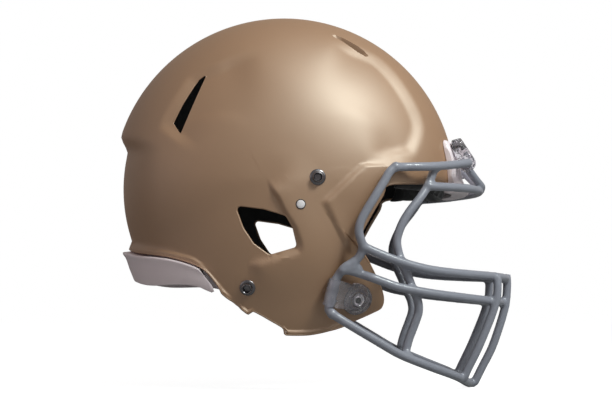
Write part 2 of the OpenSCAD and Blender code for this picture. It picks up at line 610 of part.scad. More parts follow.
// The upper bar starts at the foot of the uprights
upper_start = beside(71, -55, 6.5);
upper_half = [upper_start, fore([84, -107.5, -60.6]), fore([101, -103.5, -67]), fore([122, -95.5, -72.5]),
    fore([143, -82, -75.2]), fore([166, -62, -76.8]), fore([183, -40, -77.8]), fore([193, -18, -78.7]),
    fore([195, 0, -79])];
module upper_bar() guard_paint() swept(curve(across(upper_half), 3), [0, 0, 1]);
middle_start = beside(61, -68.5, 3);
middle_half = [middle_start, beside(67, -71.5, 3.4), fore([75, -105.5, -76.5]), fore([88, -103.5, -83.5]),
    fore([101, -100.5, -88]), fore([126, -91, -92.5]), fore([151, -74, -95.6]), fore([173, -51, -98]),
    fore([186, -27, -99.3]), fore([191.5, 0, -99.7])];
module middle_bar() guard_paint() swept(curve(across(middle_half), 3), [0, 0, 1]);
lower_start = beside(44.5, -109.5, 9.5);
lower_half = [lower_start, fore([58.6, -105, -117.3]), fore([80, -100, -129.8]), fore([101, -92.5, -142]),
    fore([126, -77, -152.4]), fore([149, -52, -161.5]), fore([160, -26, -168]), fore([163.5, 0, -170])];
module lower_bar() guard_paint() swept(curve(across(lower_half), 3), [0, 0, 1]);

// Uprights run from the top bar's corners past the upper bar to the rear legs
leg_joint = beside(62, -67.5, 2.5);
upright_path = [top_corner, beside(92, 7, 5), beside(88, 0, 4.5), beside(79, -15, 4.5), beside(69, -32, 5),
    beside(66.5, -42, 5.5), beside(68.5, -50, 6.5), beside(69.5, -56, 5.5), beside(67, -62.5, 4), leg_joint];
module upright() guard_paint() swept(curve(upright_path, 3), [0, 1, 0]);
module upright_right() upright();
module upright_left() mirror([0, 1, 0]) upright();

// Rear legs close the loop between the middle and lower bars; the retainers turn on their straight runs
leg_y = beside(45, -93, 1.2)[1];
leg_top = [46.5 * grow, leg_y, -84 * grow];
leg_foot = [42 * grow, leg_y, -102.5 * grow];
leg_way = unit(leg_top - leg_foot);
leg_head_path = [leg_top, leg_top + 1.5 * leg_way, [50 * grow, leg_y - 0.2, -77.5 * grow],
    beside(55, -71.5, 1.8), leg_joint];
leg_foot_path = [leg_foot, leg_foot - 1.5 * leg_way, [41.8 * grow, leg_y, -106.5 * grow], lower_start];
module rear_leg() {
    guard_paint() {
        stand(leg_foot - 0.4 * leg_way, leg_way) cylinder(h = norm(leg_top - leg_foot) + 0.8, r = bar_r, $fn = fine);
        swept(curve(leg_head_path, 3), [0, 1, 0]);
        swept(curve(leg_foot_path, 3), [0, 1, 0]);
    }
}
module rear_leg_right() rear_leg();
module rear_leg_left() mirror([0, 1, 0]) rear_leg();

// Eye bars cross behind the brow, upper, middle and lower bars
eye_path = [ahead(14.38, 35, 12), ahead(11.43, 32, -3), fore([117, -91, -14]), fore([108.5, -95, -25]),
    fore([102, -97, -36]), fore([98, -97.5, -48]), fore([99, -97.5, -58]), fore([102, -97.5, -67]),
    fore([107, -94.5, -78.5]), fore([111, -91.5, -89]), fore([115, -89.5, -98]), fore([116, -87.5, -107]),
    fore([113, -86.5, -117]), fore([108, -85.5, -130]), fore([105, -85.5, -141])];
module eye_bar() guard_paint() swept(curve(eye_path, 2), [0, 1, 0]);
module eye_bar_right() eye_bar();
module eye_bar_left() mirror([0, 1, 0]) eye_bar();

// Front bars stand before the middle and lower bars, under the upper bar
front_path = [fore([185, -43, -79]), fore([185, -44, -86]), fore([184, -44.5, -97]), fore([180, -44.5, -110]),
    fore([174, -44.5, -125]), fore([167, -44.5, -141]), fore([159, -43.5, -157]), fore([156.5, -43, -163])];
module front_bar() guard_paint() swept(curve(front_path, 2), [0, 1, 0]);
module front_bar_right() front_bar();
module front_bar_left() mirror([0, 1, 0]) front_bar();
centre_path = [fore([198.5, 0, -75.5]), fore([199.5, 0, -82]), fore([198.4, 0, -98]), fore([196, 0, -109]),
    fore([191, 0, -125]), fore([185, 0, -141]), fore([176.5, 0, -157]), fore([168.5, 0, -171])];
module centre_bar() guard_paint() swept(curve(centre_path, 2), [0, 1, 0]);

// Side retainers: a clear plate on the jaw with a loop round the rear leg
release_base = side_point(release_at[0] * grow, release_at[1] * grow);
release_normal = normal_at(release_base);
release_seat = release_base + (relief(release_base[0], release_base[2]) + plate_rise) * release_normal;
loop_len = 14;
leg_middle = (leg_top + leg_foot) / 2;
module side_retainer() {
    color([0.85, 0.87, 0.90, 0.5]) difference() {
        union() {
            hull() {
                stand(release_seat + 1.2 * release_normal, release_normal) cylinder(h = plate_t - 2, r = plate_r - 3, $fn = 32);
                stand(leg_middle - loop_len / 2 * leg_way, leg_way)
                    cylinder(h = loop_len, r = bar_r + loop_wall, $fn = 32);
            }
            stand(release_seat, release_normal) hull() {
                cylinder(h = plate_t - 1, r = plate_r, $fn = fine);
                cylinder(h = plate_t, r = plate_r - 1.2, $fn = fine);
            }
        }
        stand(leg_middle - loop_len * leg_way, leg_way)
            cylinder(h = 2 * loop_len, r = bar_r + bar_clearance, $fn = fine);
        stand(release_seat, release_normal) translate([0, 0, -1])
            cylinder(h = plate_t + 12, r = pin_head_r - 1.5 + 0.05, $fn = fine);
        stand(release_seat + (plate_t - 1.5) * release_normal, release_normal)
            cylinder(h = 12, r = pin_head_r + 0.05, $fn = fine);
    }
}
module side_retainer_right() side_retainer();
module side_retainer_left() mirror([0, 1, 0]) side_retainer();
// The pin's head lies in the plate's counterbore; its shank ends on the receptacle's face
pin_top = plate_t + 0.8;
module release_pin() {
    color([0.72, 0.72, 0.74]) stand(release_seat, release_normal) difference() {
        union() {
            translate([0, 0, plate_t - 1.5]) cylinder(h = pin_top - plate_t + 1, r = pin_head_r, $fn = fine);
            translate([0, 0, pin_top - 0.5]) cylinder(h = 0.5, r1 = pin_head_r, r2 = pin_head_r - 0.8, $fn = fine);
            cylinder(h = plate_t - 1, r = pin_head_r - 1.5, $fn = fine);
        }
        translate([0, 0, 1]) cylinder(h = pin_top + 2, r = button_r + button_clearance, $fn = fine);
        translate([0, 0, pin_top - 1]) cylinder(h = 3, r1 = button_r + 0.9, r2 = button_r + 3.6, $fn = fine);
    }
}
module release_pin_right() release_pin();
module release_pin_left() mirror([0, 1, 0]) release_pin();
module release_button() {
    color([0.20, 0.20, 0.21]) stand(release_seat, release_normal)
        translate([0, 0, 1 + button_travel + 0.2]) cylinder(h = pin_top - button_travel - 2.2, r = button_r, $fn = fine);
}
module release_button_right() release_button();
module release_button_left() mirror([0, 1, 0]) release_button();

shell();
front_bumper();
rear_bumper();
rear_bumper_screws();
brow_clip_right();
brow_clip_left();
brow_clip_screws();
brow_clip_nuts();
snap_studs();
snap_washers();
snap_nuts();
air_valves();
receptacle_right();
receptacle_left();
front_pad();
crown_pads();
back_pad();
neck_pad();
temple_pad_right();
temple_pad_left();
cheek_pad_right();
cheek_pad_left();
jaw_pad_right();
jaw_pad_left();
top_bar();
brow_bar();
upper_bar();
middle_bar();
lower_bar();
centre_bar();
eye_bar_right();
eye_bar_left();
front_bar_right();
front_bar_left();
upright_right();
upright_left();
rear_leg_right();
rear_leg_left();
side_retainer_right();
side_retainer_left();
release_pin_right();
release_pin_left();
release_button_right();
release_button_left();
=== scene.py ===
import bpy
import bmesh
import math
import numpy as np
from mathutils import Matrix, Vector


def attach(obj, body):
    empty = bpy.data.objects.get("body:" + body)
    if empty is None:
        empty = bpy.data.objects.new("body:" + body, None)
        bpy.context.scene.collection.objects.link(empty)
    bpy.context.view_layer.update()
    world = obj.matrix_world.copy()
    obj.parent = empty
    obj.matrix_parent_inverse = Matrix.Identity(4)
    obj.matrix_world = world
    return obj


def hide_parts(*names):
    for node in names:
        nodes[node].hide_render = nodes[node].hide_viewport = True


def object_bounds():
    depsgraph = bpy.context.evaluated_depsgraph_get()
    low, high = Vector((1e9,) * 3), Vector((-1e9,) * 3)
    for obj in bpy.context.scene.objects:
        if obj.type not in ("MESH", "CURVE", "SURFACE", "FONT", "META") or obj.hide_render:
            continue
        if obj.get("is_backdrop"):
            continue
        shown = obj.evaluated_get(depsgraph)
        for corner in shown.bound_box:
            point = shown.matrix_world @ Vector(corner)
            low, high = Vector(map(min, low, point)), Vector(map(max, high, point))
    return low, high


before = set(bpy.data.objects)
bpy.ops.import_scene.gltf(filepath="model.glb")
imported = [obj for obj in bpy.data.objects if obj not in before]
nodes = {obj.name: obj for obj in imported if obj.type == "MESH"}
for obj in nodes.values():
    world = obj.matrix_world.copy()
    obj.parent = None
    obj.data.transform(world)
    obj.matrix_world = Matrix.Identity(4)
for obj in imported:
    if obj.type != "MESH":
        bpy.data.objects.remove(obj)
cad_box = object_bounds()

# Studio. A pale floor under the helmet and a white surround: at full white for the camera and
# through clear plastic, and much weaker in reflections and as light. A small key panel high in
# front and four weaker ones light the helmet.
mm = 0.001


class Val:
    """One socket of a material. Arithmetic on it adds Math nodes; add() makes any other node."""

    def __init__(self, tree, socket):
        self.tree, self.socket = tree, socket

    def add(self, kind, sets=None, ins=None, out=0):
        """A node of a type, with its settings and its sockets' values or links; gives one output."""
        node = self.tree.nodes.new(kind)
        for key, value in (sets or {}).items():
            setattr(node, key, value)
        for key, value in (ins or {}).items():
            if isinstance(value, Val):
                self.tree.links.new(value.socket, node.inputs[key])
            else:
                node.inputs[key].default_value = value
        return Val(self.tree, node.outputs[out] if node.outputs else None)

    def math(self, operation, a, b):
        return self.add("ShaderNodeMath", {"operation": operation}, {0: a, 1: b})

    def __add__(self, other):
        return self.math("ADD", self, other)

    def __radd__(self, other):
        return self.math("ADD", other, self)

    def __mul__(self, other):
        return self.math("MULTIPLY", self, other)

    def __rmul__(self, other):
        return self.math("MULTIPLY", other, self)

    def ray(self, kind):
        return self.add("ShaderNodeLightPath", out="Is %s Ray" % kind)

    def noise(self, scale, detail):
        return self.add("ShaderNodeTexNoise", None, {"Vector": self, "Scale": scale, "Detail": detail})

    def cells(self, scale):
        return self.add("ShaderNodeTexVoronoi", None, {"Vector": self, "Scale": scale})

    def clamped(self, low, high):
        return self.add("ShaderNodeMapRange", {"clamp": True},
                        {"Value": self, "From Min": low, "From Max": high, "To Min": 0.0, "To Max": 1.0})

    def blend(self, a, b):
        """Mix of two colours by this value."""
        return self.add("ShaderNodeMix", {"data_type": "RGBA"}, {0: self, 6: a, 7: b}, 2)


def finish(name, colour, roughness, **fixed):
    """A material with its plain sockets set, the surface's coordinates in metres, and functions
    that feed a socket and a bump of a depth in millimetres."""
    mat = bpy.data.materials.new(name)
    mat.use_nodes = True
    tree = mat.node_tree
    shader = tree.nodes["Principled BSDF"]
    shader.inputs["Base Color"].default_value = (*colour, 1)
    shader.inputs["Roughness"].default_value = roughness
    for key, value in fixed.items():
        shader.inputs[key.replace("_", " ")].default_value = value
    place = Val(tree, None).add("ShaderNodeTexCoord", out="Object")

    def feed(socket, value):
        tree.links.new(value.socket, shader.inputs[socket])

    def bump(height, depth, strength):
        feed("Normal", place.add("ShaderNodeBump", None, {"Height": height, "Distance": depth * mm,
                                                         "Strength": strength}))

    return mat, place, feed, bump


def wear(mat, *objects):
    """The objects get this material and no other."""
    for obj in objects:
        obj.data.materials.clear()
        obj.data.materials.append(mat)


world = bpy.data.worlds.new("studio")
bpy.context.scene.world = world
world.use_nodes = True
world.node_tree.nodes.clear()
sky = Val(world.node_tree, None)
fill_light, gloss_share = 0.2, 0.2
seen_plainly = sky.math("MAXIMUM", sky.ray("Camera"), sky.ray("Transmission"))
seen_white = seen_plainly + gloss_share * sky.ray("Glossy")
fill = sky.add("ShaderNodeBackground", None, {"Color": (1, 0.92, 0.91, 1), "Strength": fill_light})
white_sky = sky.add("ShaderNodeBackground", None, {"Color": (1, 1, 1, 1), "Strength": 1.0})
surround = sky.add("ShaderNodeMixShader", None, {0: seen_white, 1: fill, 2: white_sky})
sky.add("ShaderNodeOutputWorld", None, {"Surface": surround})

floor_size, floor_gap = 6, 0.5 * mm
floor_mesh = bpy.data.meshes.new("floor")
bm = bmesh.new()
bmesh.ops.create_grid(bm, x_segments=1, y_segments=1, size=floor_size)
bmesh.ops.translate(bm, verts=bm.verts, vec=(0, 0, cad_box[0][2] - floor_gap))
bm.to_mesh(floor_mesh)
bm.free()
floor = bpy.data.objects.new("floor", floor_mesh)
bpy.context.scene.collection.objects.link(floor)
floor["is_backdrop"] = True
pale, place, feed, bump = finish("floor", (0.30, 0.30, 0.30), 0.9, Specular_IOR_Level=0.1,
                                 Emission_Strength=1.0)
feed("Emission Color", place.ray("Camera").blend((0, 0, 0, 1), (0.93, 0.93, 0.93, 1)))
wear(pale, floor)


def panel(name, place, aim, size, power, colour):
    """A square soft light, its side in metres and its power in watts, that faces a point."""
    lamp = bpy.data.lights.new(name, "AREA")
    lamp.shape, lamp.size, lamp.energy, lamp.color = "SQUARE", size, power, colour
    obj = bpy.data.objects.new(name, lamp)
    obj.location = place
    obj.rotation_euler = (Vector(aim) - Vector(place)).to_track_quat("-Z", "Y").to_euler()
    bpy.context.scene.collection.objects.link(obj)


centre_point, cool, warm = (0, 0, 0), (0.93, 1, 0.97), (1, 0.82, 0.80)
panel("key_panel", (0.80, -0.75, 1.06), centre_point, 0.36, 16, cool)
panel("side_panel", (0.50, -1.10, 0.95), centre_point, 0.8, 3.8, cool)
panel("front_panel", (1.15, -0.60, 0.80), centre_point, 0.8, 3, cool)
panel("top_panel", (0.40, -0.20, 1.60), centre_point, 1.0, 1.2, cool)
panel("back_panel", (-1.40, -0.90, 0.10), (0, 0, -0.05), 1.2, 2.2, warm)

# The camera looks from 1.4 m on the wearer's right, with the photograph's framing
film_width, photo_px, focal_px = 36, 612, 1577
aim = Vector((0.0195, 0, -0.0124))
lens = bpy.data.cameras.new("camera")
lens.sensor_width = film_width
lens.lens = film_width * focal_px / photo_px
camera = bpy.data.objects.new("camera", lens)
camera.location = (0.0676, -1.4, -0.1041)
camera.rotation_euler = (aim - camera.location).to_track_quat("-Z", "Y").to_euler()
bpy.context.scene.collection.objects.link(camera)
bpy.context.scene.camera = camera
bpy.context.scene.view_settings.view_transform = "Standard"

# Shell. One moulding of tough plastic, 4 mm thick, sprayed a satin metallic gold. Crown bands, a
# cheek flat, an ear ridge and a flared neck edge are pressed into it, and the ear holes, the rear
# vents and the crown slots are cut through. Lengths are in millimetres, angles in degrees.
crown_r, half_width, wall = 152.0, 118.0, 4.0
jaw_drop, jaw_at, jaw_span = 54.0, 268, 68
jaw_taper, taper_soft = 14.0, 0.02
back_step, step_from, step_run, step_to, step_fade = 10.0, 161.5, 6, 290, 90
edge_from, edge_run, cross = 0.65, 0.32, 2.25


def ease(t):
    """From 0 to 1 with a level start and end."""
    t = np.clip(t, 0, 1)
    return t * t * (3 - 2 * t)


def outline_r(a):
    """Radius of the side outline at an angle: a circle that drops down to the jaw."""
    d = np.abs(a - jaw_at)
    drop = jaw_drop * np.cos(np.radians(np.minimum(d, jaw_span) * 90 / jaw_span)) ** 2
    return crown_r + np.where(d < jaw_span, drop, 0)


def back_r(a, q):
    """The same where the back steps in below the crown, near the outline alone."""
    below, above = ease((a - step_from) / step_run), ease((step_to - a) / step_fade)
    return outline_r(a) - back_step * below * above * ease((q - edge_from) / edge_run)


def share(x, z):
    """How far out a place of the side view lies, 1 at the outline, and the half width there."""
    a = np.degrees(np.arctan2(z, x)) % 360
    r = np.hypot(x, z)
    q = r / outline_r(a)
    for _ in range(6):
        q = r / back_r(a, q)
    down = -np.sin(np.radians(a))
    taper = jaw_taper * 0.5 * (down + np.sqrt(down * down + taper_soft)) * np.minimum(q, 1)
    return q, half_width - taper


def half_y(x, z):
    """Distance of the plain form from the middle plane."""
    q, w = share(x, z)
    return w * np.maximum(0, 1 - np.minimum(q, 1) ** cross) ** (1 / cross)


def level(p):
    """A number that is 1 on the plain form and grows outwards."""
    q, w = share(p[..., 0], p[..., 2])
    return q ** cross + (np.abs(p[..., 1]) / w) ** cross


def outward(p):
    """The way that the plain form faces at points; the middle plane faces neither side."""
    probe, near_middle = 0.05, 0.2
    n = np.zeros_like(p)
    for k in range(3):
        step = np.zeros(3)
        step[k] = probe
        n[..., k] = level(p + step) - level(p - step)
    n[..., 1] = np.where(np.abs(p[..., 1]) < near_middle, 0, n[..., 1])
    return n / np.linalg.norm(n, axis=-1, keepdims=True)


def ramp(t, soft=0.12):
    """From 0 to 1 in a straight slope with softly rounded ends."""
    return np.select([t < -soft, t < soft, t < 1 - soft, t < 1 + soft],
                     [0, (t + soft) ** 2 / (4 * soft), t, 1 - (1 + soft - t) ** 2 / (4 * soft)], 1.0)


def near_line(p, line):
    """Distance to a line of points, positive on its left."""
    best = np.full(p.shape[0], 1e9)
    side = np.zeros(p.shape[0])
    line = np.array(line, float)
    for a, b in zip(line[:-1], line[1:]):
        t = np.clip(((p - a) @ (b - a)) / ((b - a) @ (b - a)), 0, 1)
        d = np.linalg.norm(p - a - t[:, None] * (b - a), axis=1)
        s = ((b[0] - a[0]) * (p[:, 1] - a[1]) - (b[1] - a[1]) * (p[:, 0] - a[0])) / np.linalg.norm(b - a)
        closer = (d < best - 1e-6) | ((d < best + 1e-6) & (np.abs(s) > np.abs(side)))
        best = np.where(closer, d, best)
        side = np.where(closer, s, side)
    return np.where(side > 0, best, -best)


def spaced(path, step):
    """A path's points again, about one step apart."""
    gaps = np.linalg.norm(np.diff(path, axis=0), axis=1)
    run = np.concatenate([[0], np.cumsum(gaps)])
    at = np.linspace(0, run[-1], max(2, int(round(run[-1] / step)) + 1))
    return np.stack([np.interp(at, run, path[:, k]) for k in range(path.shape[1])], axis=1)


def sunk(p, line, slope, reach, fade=25, soft=0.12):
    """Depth share of a panel sunk on the left of a line: a slope at the line, then a slow rise
    back over the reach; it dies away towards the line's ends."""
    gap = 3
    dense = spaced(np.array(line, float), gap)
    pull = (np.linalg.norm(p[:, None] - dense, axis=2) + 0.01) ** -6
    tips = np.minimum(np.linalg.norm(dense - dense[0], axis=1), np.linalg.norm(dense - dense[-1], axis=1))
    # At a distance d from a long straight line the pulls add up to 1.178 / gap * d ** -5
    far = (gap * pull.sum(axis=1) / 1.178) ** -0.2
    return (ramp(near_line(p, line) / slope, soft) * (1 - ease((far - slope) / reach))
            * (pull ** 2 * ease(tips / fade)).sum(axis=1) / (pull ** 2).sum(axis=1))


def traced(points, step):
    """A smooth curve through given points, with points about one step apart."""
    pts = [np.array(p, float) for p in points]
    out = []
    for i in range(len(pts) - 1):
        a, b, c, d = pts[max(i - 1, 0)], pts[i], pts[i + 1], pts[min(i + 2, len(pts) - 1)]
        n = max(1, round(float(np.linalg.norm(c - b)) / step))
        for s in range(n):
            t = s / n
            out.append((2 * b + (c - a) * t + (2 * a - 5 * b + 4 * c - d) * t * t
                        + (3 * b - a - 3 * c + d) * t ** 3) / 2)
    return np.array(out + [pts[-1]])


# Lines of the side view, forward and up from the shell's centre
neck_angle, brow_angle, crown_steps = 201.4, 0.4, 240
edge_points = [(-118, -57), (-90, -62.5), (-64, -72), (-50, -87.2), (-47.4, -92.8), (-38.6, -100.2),
               (-26.6, -109.5), (-24.8, -110.4), (-21, -108.4), (-5.6, -116.8), (2.4, -121.5),
               (3.7, -123), (4.3, -126.2), (5.8, -127.4), (14.3, -127.7), (26, -127.3), (41, -124.7),
               (55, -121), (80, -110), (88, -104), (88, -91), (76, -65), (66, -52), (72, -38), (87, -12),
               (91, -4), (118, -1.5), (142, 1)]
rear_band = [(-15, 113.5), (-33, 109), (-43, 105.7), (-52, 101.5), (-64.2, 97.5), (-76.6, 92.2),
             (-84.6, 79.1), (-93.2, 64.2), (-98.1, 55.3), (-100.3, 48), (-98.8, 45), (-92.1, 39.1),
             (-81.3, 30.8), (-65, 19.5)]
front_band = [(45, 128), (63, 118.5), (75, 115), (85.6, 110), (97.8, 97), (104.5, 87.7), (112.6, 74.5),
              (119.3, 60.7), (122, 50), (121.2, 42.3), (118.1, 32.9), (113.2, 23.8), (100.9, 20.3),
              (87.5, 17.3), (73, 14.5)]
face_line = [(118, 18), (100, 17), (69.5, 14.5), (36, -17.5), (52, -50), (61, -66)]
jaw_line = [(57, -38), (50, -75), (20, -115)]
ear_wall = [(-9, -2), (-4, -11.4), (-0.1, -17.1), (2.6, -23.2), (6.1, -29.8), (12.2, -39.4), (16.5, -52),
            (16, -56), (9, -58.5), (-1.2, -61.3), (-17.8, -65.7), (-26, -67)]
neck_ledge = [(-139, -47), (-118, -51.5), (-90, -57), (-70, -62.5), (-64.3, -66.5), (-60.6, -71),
              (-52.5, -79.7), (-44.5, -89.4), (-38.3, -95.6)]
flange_ledge = [(-31, -101.8), (-22.6, -108)]
jaw_ledge = [(3.5, -122.5), (14.7, -123), (26, -122.7), (41, -120.4), (60, -114)]

arc = np.radians(np.linspace(brow_angle, neck_angle, crown_steps))
arc_r = back_r(np.degrees(arc), np.ones(crown_steps))
crown_edge = np.stack([arc_r * np.cos(arc), arc_r * np.sin(arc)], axis=1)
lower_edge = traced([tuple(crown_edge[-1])] + edge_points + [tuple(crown_edge[0])], 3.2)


def ledge(p, line, fade):
    """Share of a lip raised below a ledge line, which stops at the line's ends."""
    slope, line = 1.3, np.array(line, float)
    tips = np.minimum(np.linalg.norm(p - line[0], axis=1), np.linalg.norm(p - line[-1], axis=1))
    length = np.linalg.norm(line[-1] - line[0])
    along = (p - line[0]) @ (line[-1] - line[0]) / length
    inside = (along > 0) & (along < length)
    return ramp(-near_line(p, line) / slope, 0.3) * np.where(inside, ease(tips / fade), 0)


band_depth, cheek_depth, jaw_depth, ear_height, lip_height = 3.7, 2.6, 4.0, 3.6, 1.6
flare_height, flare_width = 3.2, 9


def relief(x, z):
    """How far the skin stands off the plain form at places of the side view."""
    p = np.stack([x, z], axis=1)
    rear = sunk(p, rear_band, slope=8.2, reach=70, fade=34, soft=0.05)
    front = sunk(p, front_band[::-1], slope=7.6, reach=70, fade=26, soft=0.05)
    cheek = sunk(p, face_line, slope=4.0, reach=60, fade=16)
    jaw = sunk(p, jaw_line, slope=12, reach=60)
    ear = sunk(p, ear_wall, slope=3.6, reach=46, fade=12, soft=0.2)
    back = ease((-x - 60) / 70)
    to_neck = np.abs(near_line(p, [(-136, -54)] + edge_points[:3]))
    flare = (1 - ease(to_neck / flare_width)) * back
    return (-band_depth * (rear + front - rear * front)
            + cheek_depth * cheek - jaw_depth * jaw
            + ear_height * ear
            + flare_height * flare + (lip_height + 0.8 * back) * ledge(p, neck_ledge, 4)
            + lip_height * (ledge(p, flange_ledge, 1.2) + ledge(p, jaw_ledge, 1.5)))


# The rim's rounding stands beyond the wall's own edge, except at the middle of neck and brow
rim_stand = 1.1
way = np.gradient(lower_edge, axis=0)
way /= np.linalg.norm(way, axis=1, keepdims=True)
inset = rim_stand * ease((lower_edge[:, 0] + 141) / 30) * ease((150 - lower_edge[:, 0]) / 30)
rim_line = lower_edge + inset[:, None] * np.stack([-way[:, 1], way[:, 0]], axis=1)

# The skin is rings that shrink from the shell's edge to a hub above the ear hole. The hub is
# chosen so that no spoke from it runs along the brow edge, and spokes keep a least turn apart.
hub, least_turn, rings = np.array([-21.7, 31.3]), 0.3, 78
crown_run = spaced(crown_edge, 5)
turned_by = np.degrees(np.arctan2(rim_line[:, 1] - hub[1], rim_line[:, 0] - hub[0])) % 360
kept = [0]
for k in range(1, len(rim_line) - 1):
    if turned_by[k] > turned_by[kept[-1]] + least_turn:
        kept.append(k)
shell_edge = np.concatenate([crown_run, rim_line[kept[1:]]])
around = len(shell_edge)


def placed(name, mesh, body):
    """A smoothly shaded piece that rides a body."""
    mesh.shade_smooth()
    obj = bpy.data.objects.new(name, mesh)
    bpy.context.scene.collection.objects.link(obj)
    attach(obj, body)
    return obj


def mesh_object(name, bm, body):
    """The same from a bmesh."""
    mesh = bpy.data.meshes.new(name)
    bm.to_mesh(mesh)
    bm.free()
    return placed(name, mesh, body)


# A grid of spokes and rings is laid on the right side, copied to the left and joined in the middle
bm = bmesh.new()
bmesh.ops.create_grid(bm, x_segments=around, y_segments=rings, size=0.5)
bm.verts.ensure_lookup_table()
grid = np.array([v.co[:] for v in bm.verts])
i = np.rint((grid[:, 0] + 0.5) * around).astype(int)
j = np.rint((grid[:, 1] + 0.5) * rings).astype(int)
spread = np.sin(np.radians(90 * j / rings))
flat = hub + (shell_edge[i % around] - hub) * spread[:, None]
middle = (j == rings) & ((i % around) < len(crown_run))
skin = np.stack([flat[:, 0], np.where(middle, 0, -half_y(flat[:, 0], flat[:, 1])), flat[:, 1]], axis=1)
skin = skin + relief(flat[:, 0], flat[:, 1])[:, None] * outward(skin)
for v, p in zip(bm.verts, skin):
    v.co = p * mm
one_point = 0.01 * mm
bmesh.ops.remove_doubles(bm, verts=bm.verts, dist=one_point)
half = bmesh.ops.duplicate(bm, geom=bm.verts[:] + bm.edges[:] + bm.faces[:])["geom"]
bmesh.ops.scale(bm, vec=(1, -1, 1), verts=[g for g in half if isinstance(g, bmesh.types.BMVert)])
bmesh.ops.remove_doubles(bm, verts=bm.verts, dist=one_point)
bmesh.ops.recalc_face_normals(bm, faces=bm.faces)
crown_face = max(bm.faces, key=lambda f: f.calc_center_median().z)
if crown_face.normal.z < 0:
    bmesh.ops.reverse_faces(bm, faces=bm.faces)
shell = mesh_object("shell_moulding", bm, "helmet")
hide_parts("shell")


def apply_modifiers(obj):
    """The object's mesh becomes what its modifiers make of it."""
    depsgraph = bpy.context.evaluated_depsgraph_get()
    done = bpy.data.meshes.new_from_object(obj.evaluated_get(depsgraph))
    obj.modifiers.clear()
    obj.data = done


def add_hull(bm, corners):
    """The convex solid round some points in millimetres."""
    hull = bmesh.ops.convex_hull(bm, input=[bm.verts.new(Vector(p) * mm) for p in corners])
    spare = {g for g in hull["geom_interior"] + hull["geom_unused"] if isinstance(g, bmesh.types.BMVert)}
    bmesh.ops.delete(bm, geom=list(spare), context="VERTS")


def cutter(corners):
    """The convex solid round some points, to cut with."""
    bm = bmesh.new()
    add_hull(bm, corners)
    bmesh.ops.recalc_face_normals(bm, faces=bm.faces)
    mesh = bpy.data.meshes.new("cutter")
    bm.to_mesh(mesh)
    bm.free()
    obj = bpy.data.objects.new("cutter", mesh)
    bpy.context.scene.collection.objects.link(obj)
    return obj


def circles(points):
    """Points of circles in the side view, carried across the whole shell."""
    return [(x + r * math.cos(k * math.pi / 16), y, z + r * math.sin(k * math.pi / 16))
            for x, z, r in points for k in range(32) for y in (-cut_reach, cut_reach)]


def on_skin(x, z, depth=0.0):
    """Points of the right side above places of the side view, sunk by a depth."""
    x, z = np.atleast_1d(np.array(x, float)), np.atleast_1d(np.array(z, float))
    p = np.stack([x, -half_y(x, z), z], axis=1)
    return p + (relief(x, z) - depth)[:, None] * outward(p)


# The wall grows inwards, with a dark inside, and the openings are cut through it afterwards
wall_mod = shell.modifiers.new("wall", "SOLIDIFY")
wall_mod.thickness = wall * mm
wall_mod.offset = -1
wall_mod.material_offset = 1
wall_mod.material_offset_rim = 0
# The holes and vents are hulls of circles, by place and radius; the slot narrows to its foot
cut_reach = 180
ear_corners = [(-30, -24.6, 4), (-12, -27.5, 4.5), (4.5, -32.5, 4.5), (9.4, -40.5, 4.2), (12.4, -52.7, 4),
               (-6, -58, 4), (-17.2, -49.8, 4), (-25.3, -37.6, 4)]
vent_corners = [(-62.8, 89.6, 1.2), (-67.2, 86.6, 1.2), (-71.4, 80.6, 1.2), (-80.8, 64.6, 1.2),
                (-87.9, 49.7, 1.2), (-82, 41.3, 1.2)]
slot_outline = np.array([(44, 129), (46.5, 129), (51.3, 127.4), (58.8, 123.2), (67.1, 117.6), (75.2, 112),
                         (75.6, 110.9), (73.6, 110.8), (65.9, 114.5), (61.7, 117), (55.8, 121.6),
                         (51, 124.6), (45.4, 127)])
slot_rim = on_skin(slot_outline[:, 0], slot_outline[:, 1])
slot_way = outward(slot_rim).mean(axis=0)
slot_foot = on_skin(62.5, 117.3)[0]
slot_top, slot_bottom, slot_lean = 8, -9, 0.085
slot_solid = np.concatenate([slot_rim + h * slot_way + slot_lean * h * (slot_rim - slot_foot)
                             for h in (slot_top, slot_bottom)])
cuts = [cutter(circles(ear_corners)), cutter(circles(vent_corners)), cutter(slot_solid),
        cutter(slot_solid * [1, -1, 1])]
for k, cut in enumerate(cuts):
    mod = shell.modifiers.new("cut%d" % k, "BOOLEAN")
    mod.operation = "DIFFERENCE"
    mod.solver = "EXACT"
    mod.object = cut


gold, place, feed, bump = finish("gold_paint", (0.305, 0.150, 0.066), 0.55, Metallic=0.12, IOR=2.2,
                                 Specular_IOR_Level=0.665, Specular_Tint=(1.0, 1.0, 0.93, 1))
flake = place.cells(2600)
cloud = place.noise(18, 3)
speck = flake.clamped(0.1, 0.7) * 0.5 + cloud * 0.5
feed("Base Color", speck.blend((0.273, 0.134, 0.058, 1), (0.337, 0.166, 0.074, 1)))
feed("Roughness", 0.50 + 0.09 * flake)
bump(flake * 0.6 + place.noise(420, 1) * 0.4, 0.03, 0.35)

lining, place, feed, bump = finish("shell_inside", (0.018, 0.017, 0.018), 0.7)
feed("Base Color", place.noise(240, 3).blend((0.012, 0.012, 0.013, 1), (0.03, 0.029, 0.03, 1)))
feed("Roughness", 0.6 + 0.2 * place.noise(90, 2))
bump(place.noise(900, 2), 0.05, 0.5)
shell.data.materials.append(gold)
shell.data.materials.append(lining)
apply_modifiers(shell)
for cut in cuts:
    bpy.data.objects.remove(cut)
shell.data.shade_smooth()
sharp_edges = shell.modifiers.new("edges", "EDGE_SPLIT")
sharp_edges.split_angle = math.radians(32)
apply_modifiers(shell)


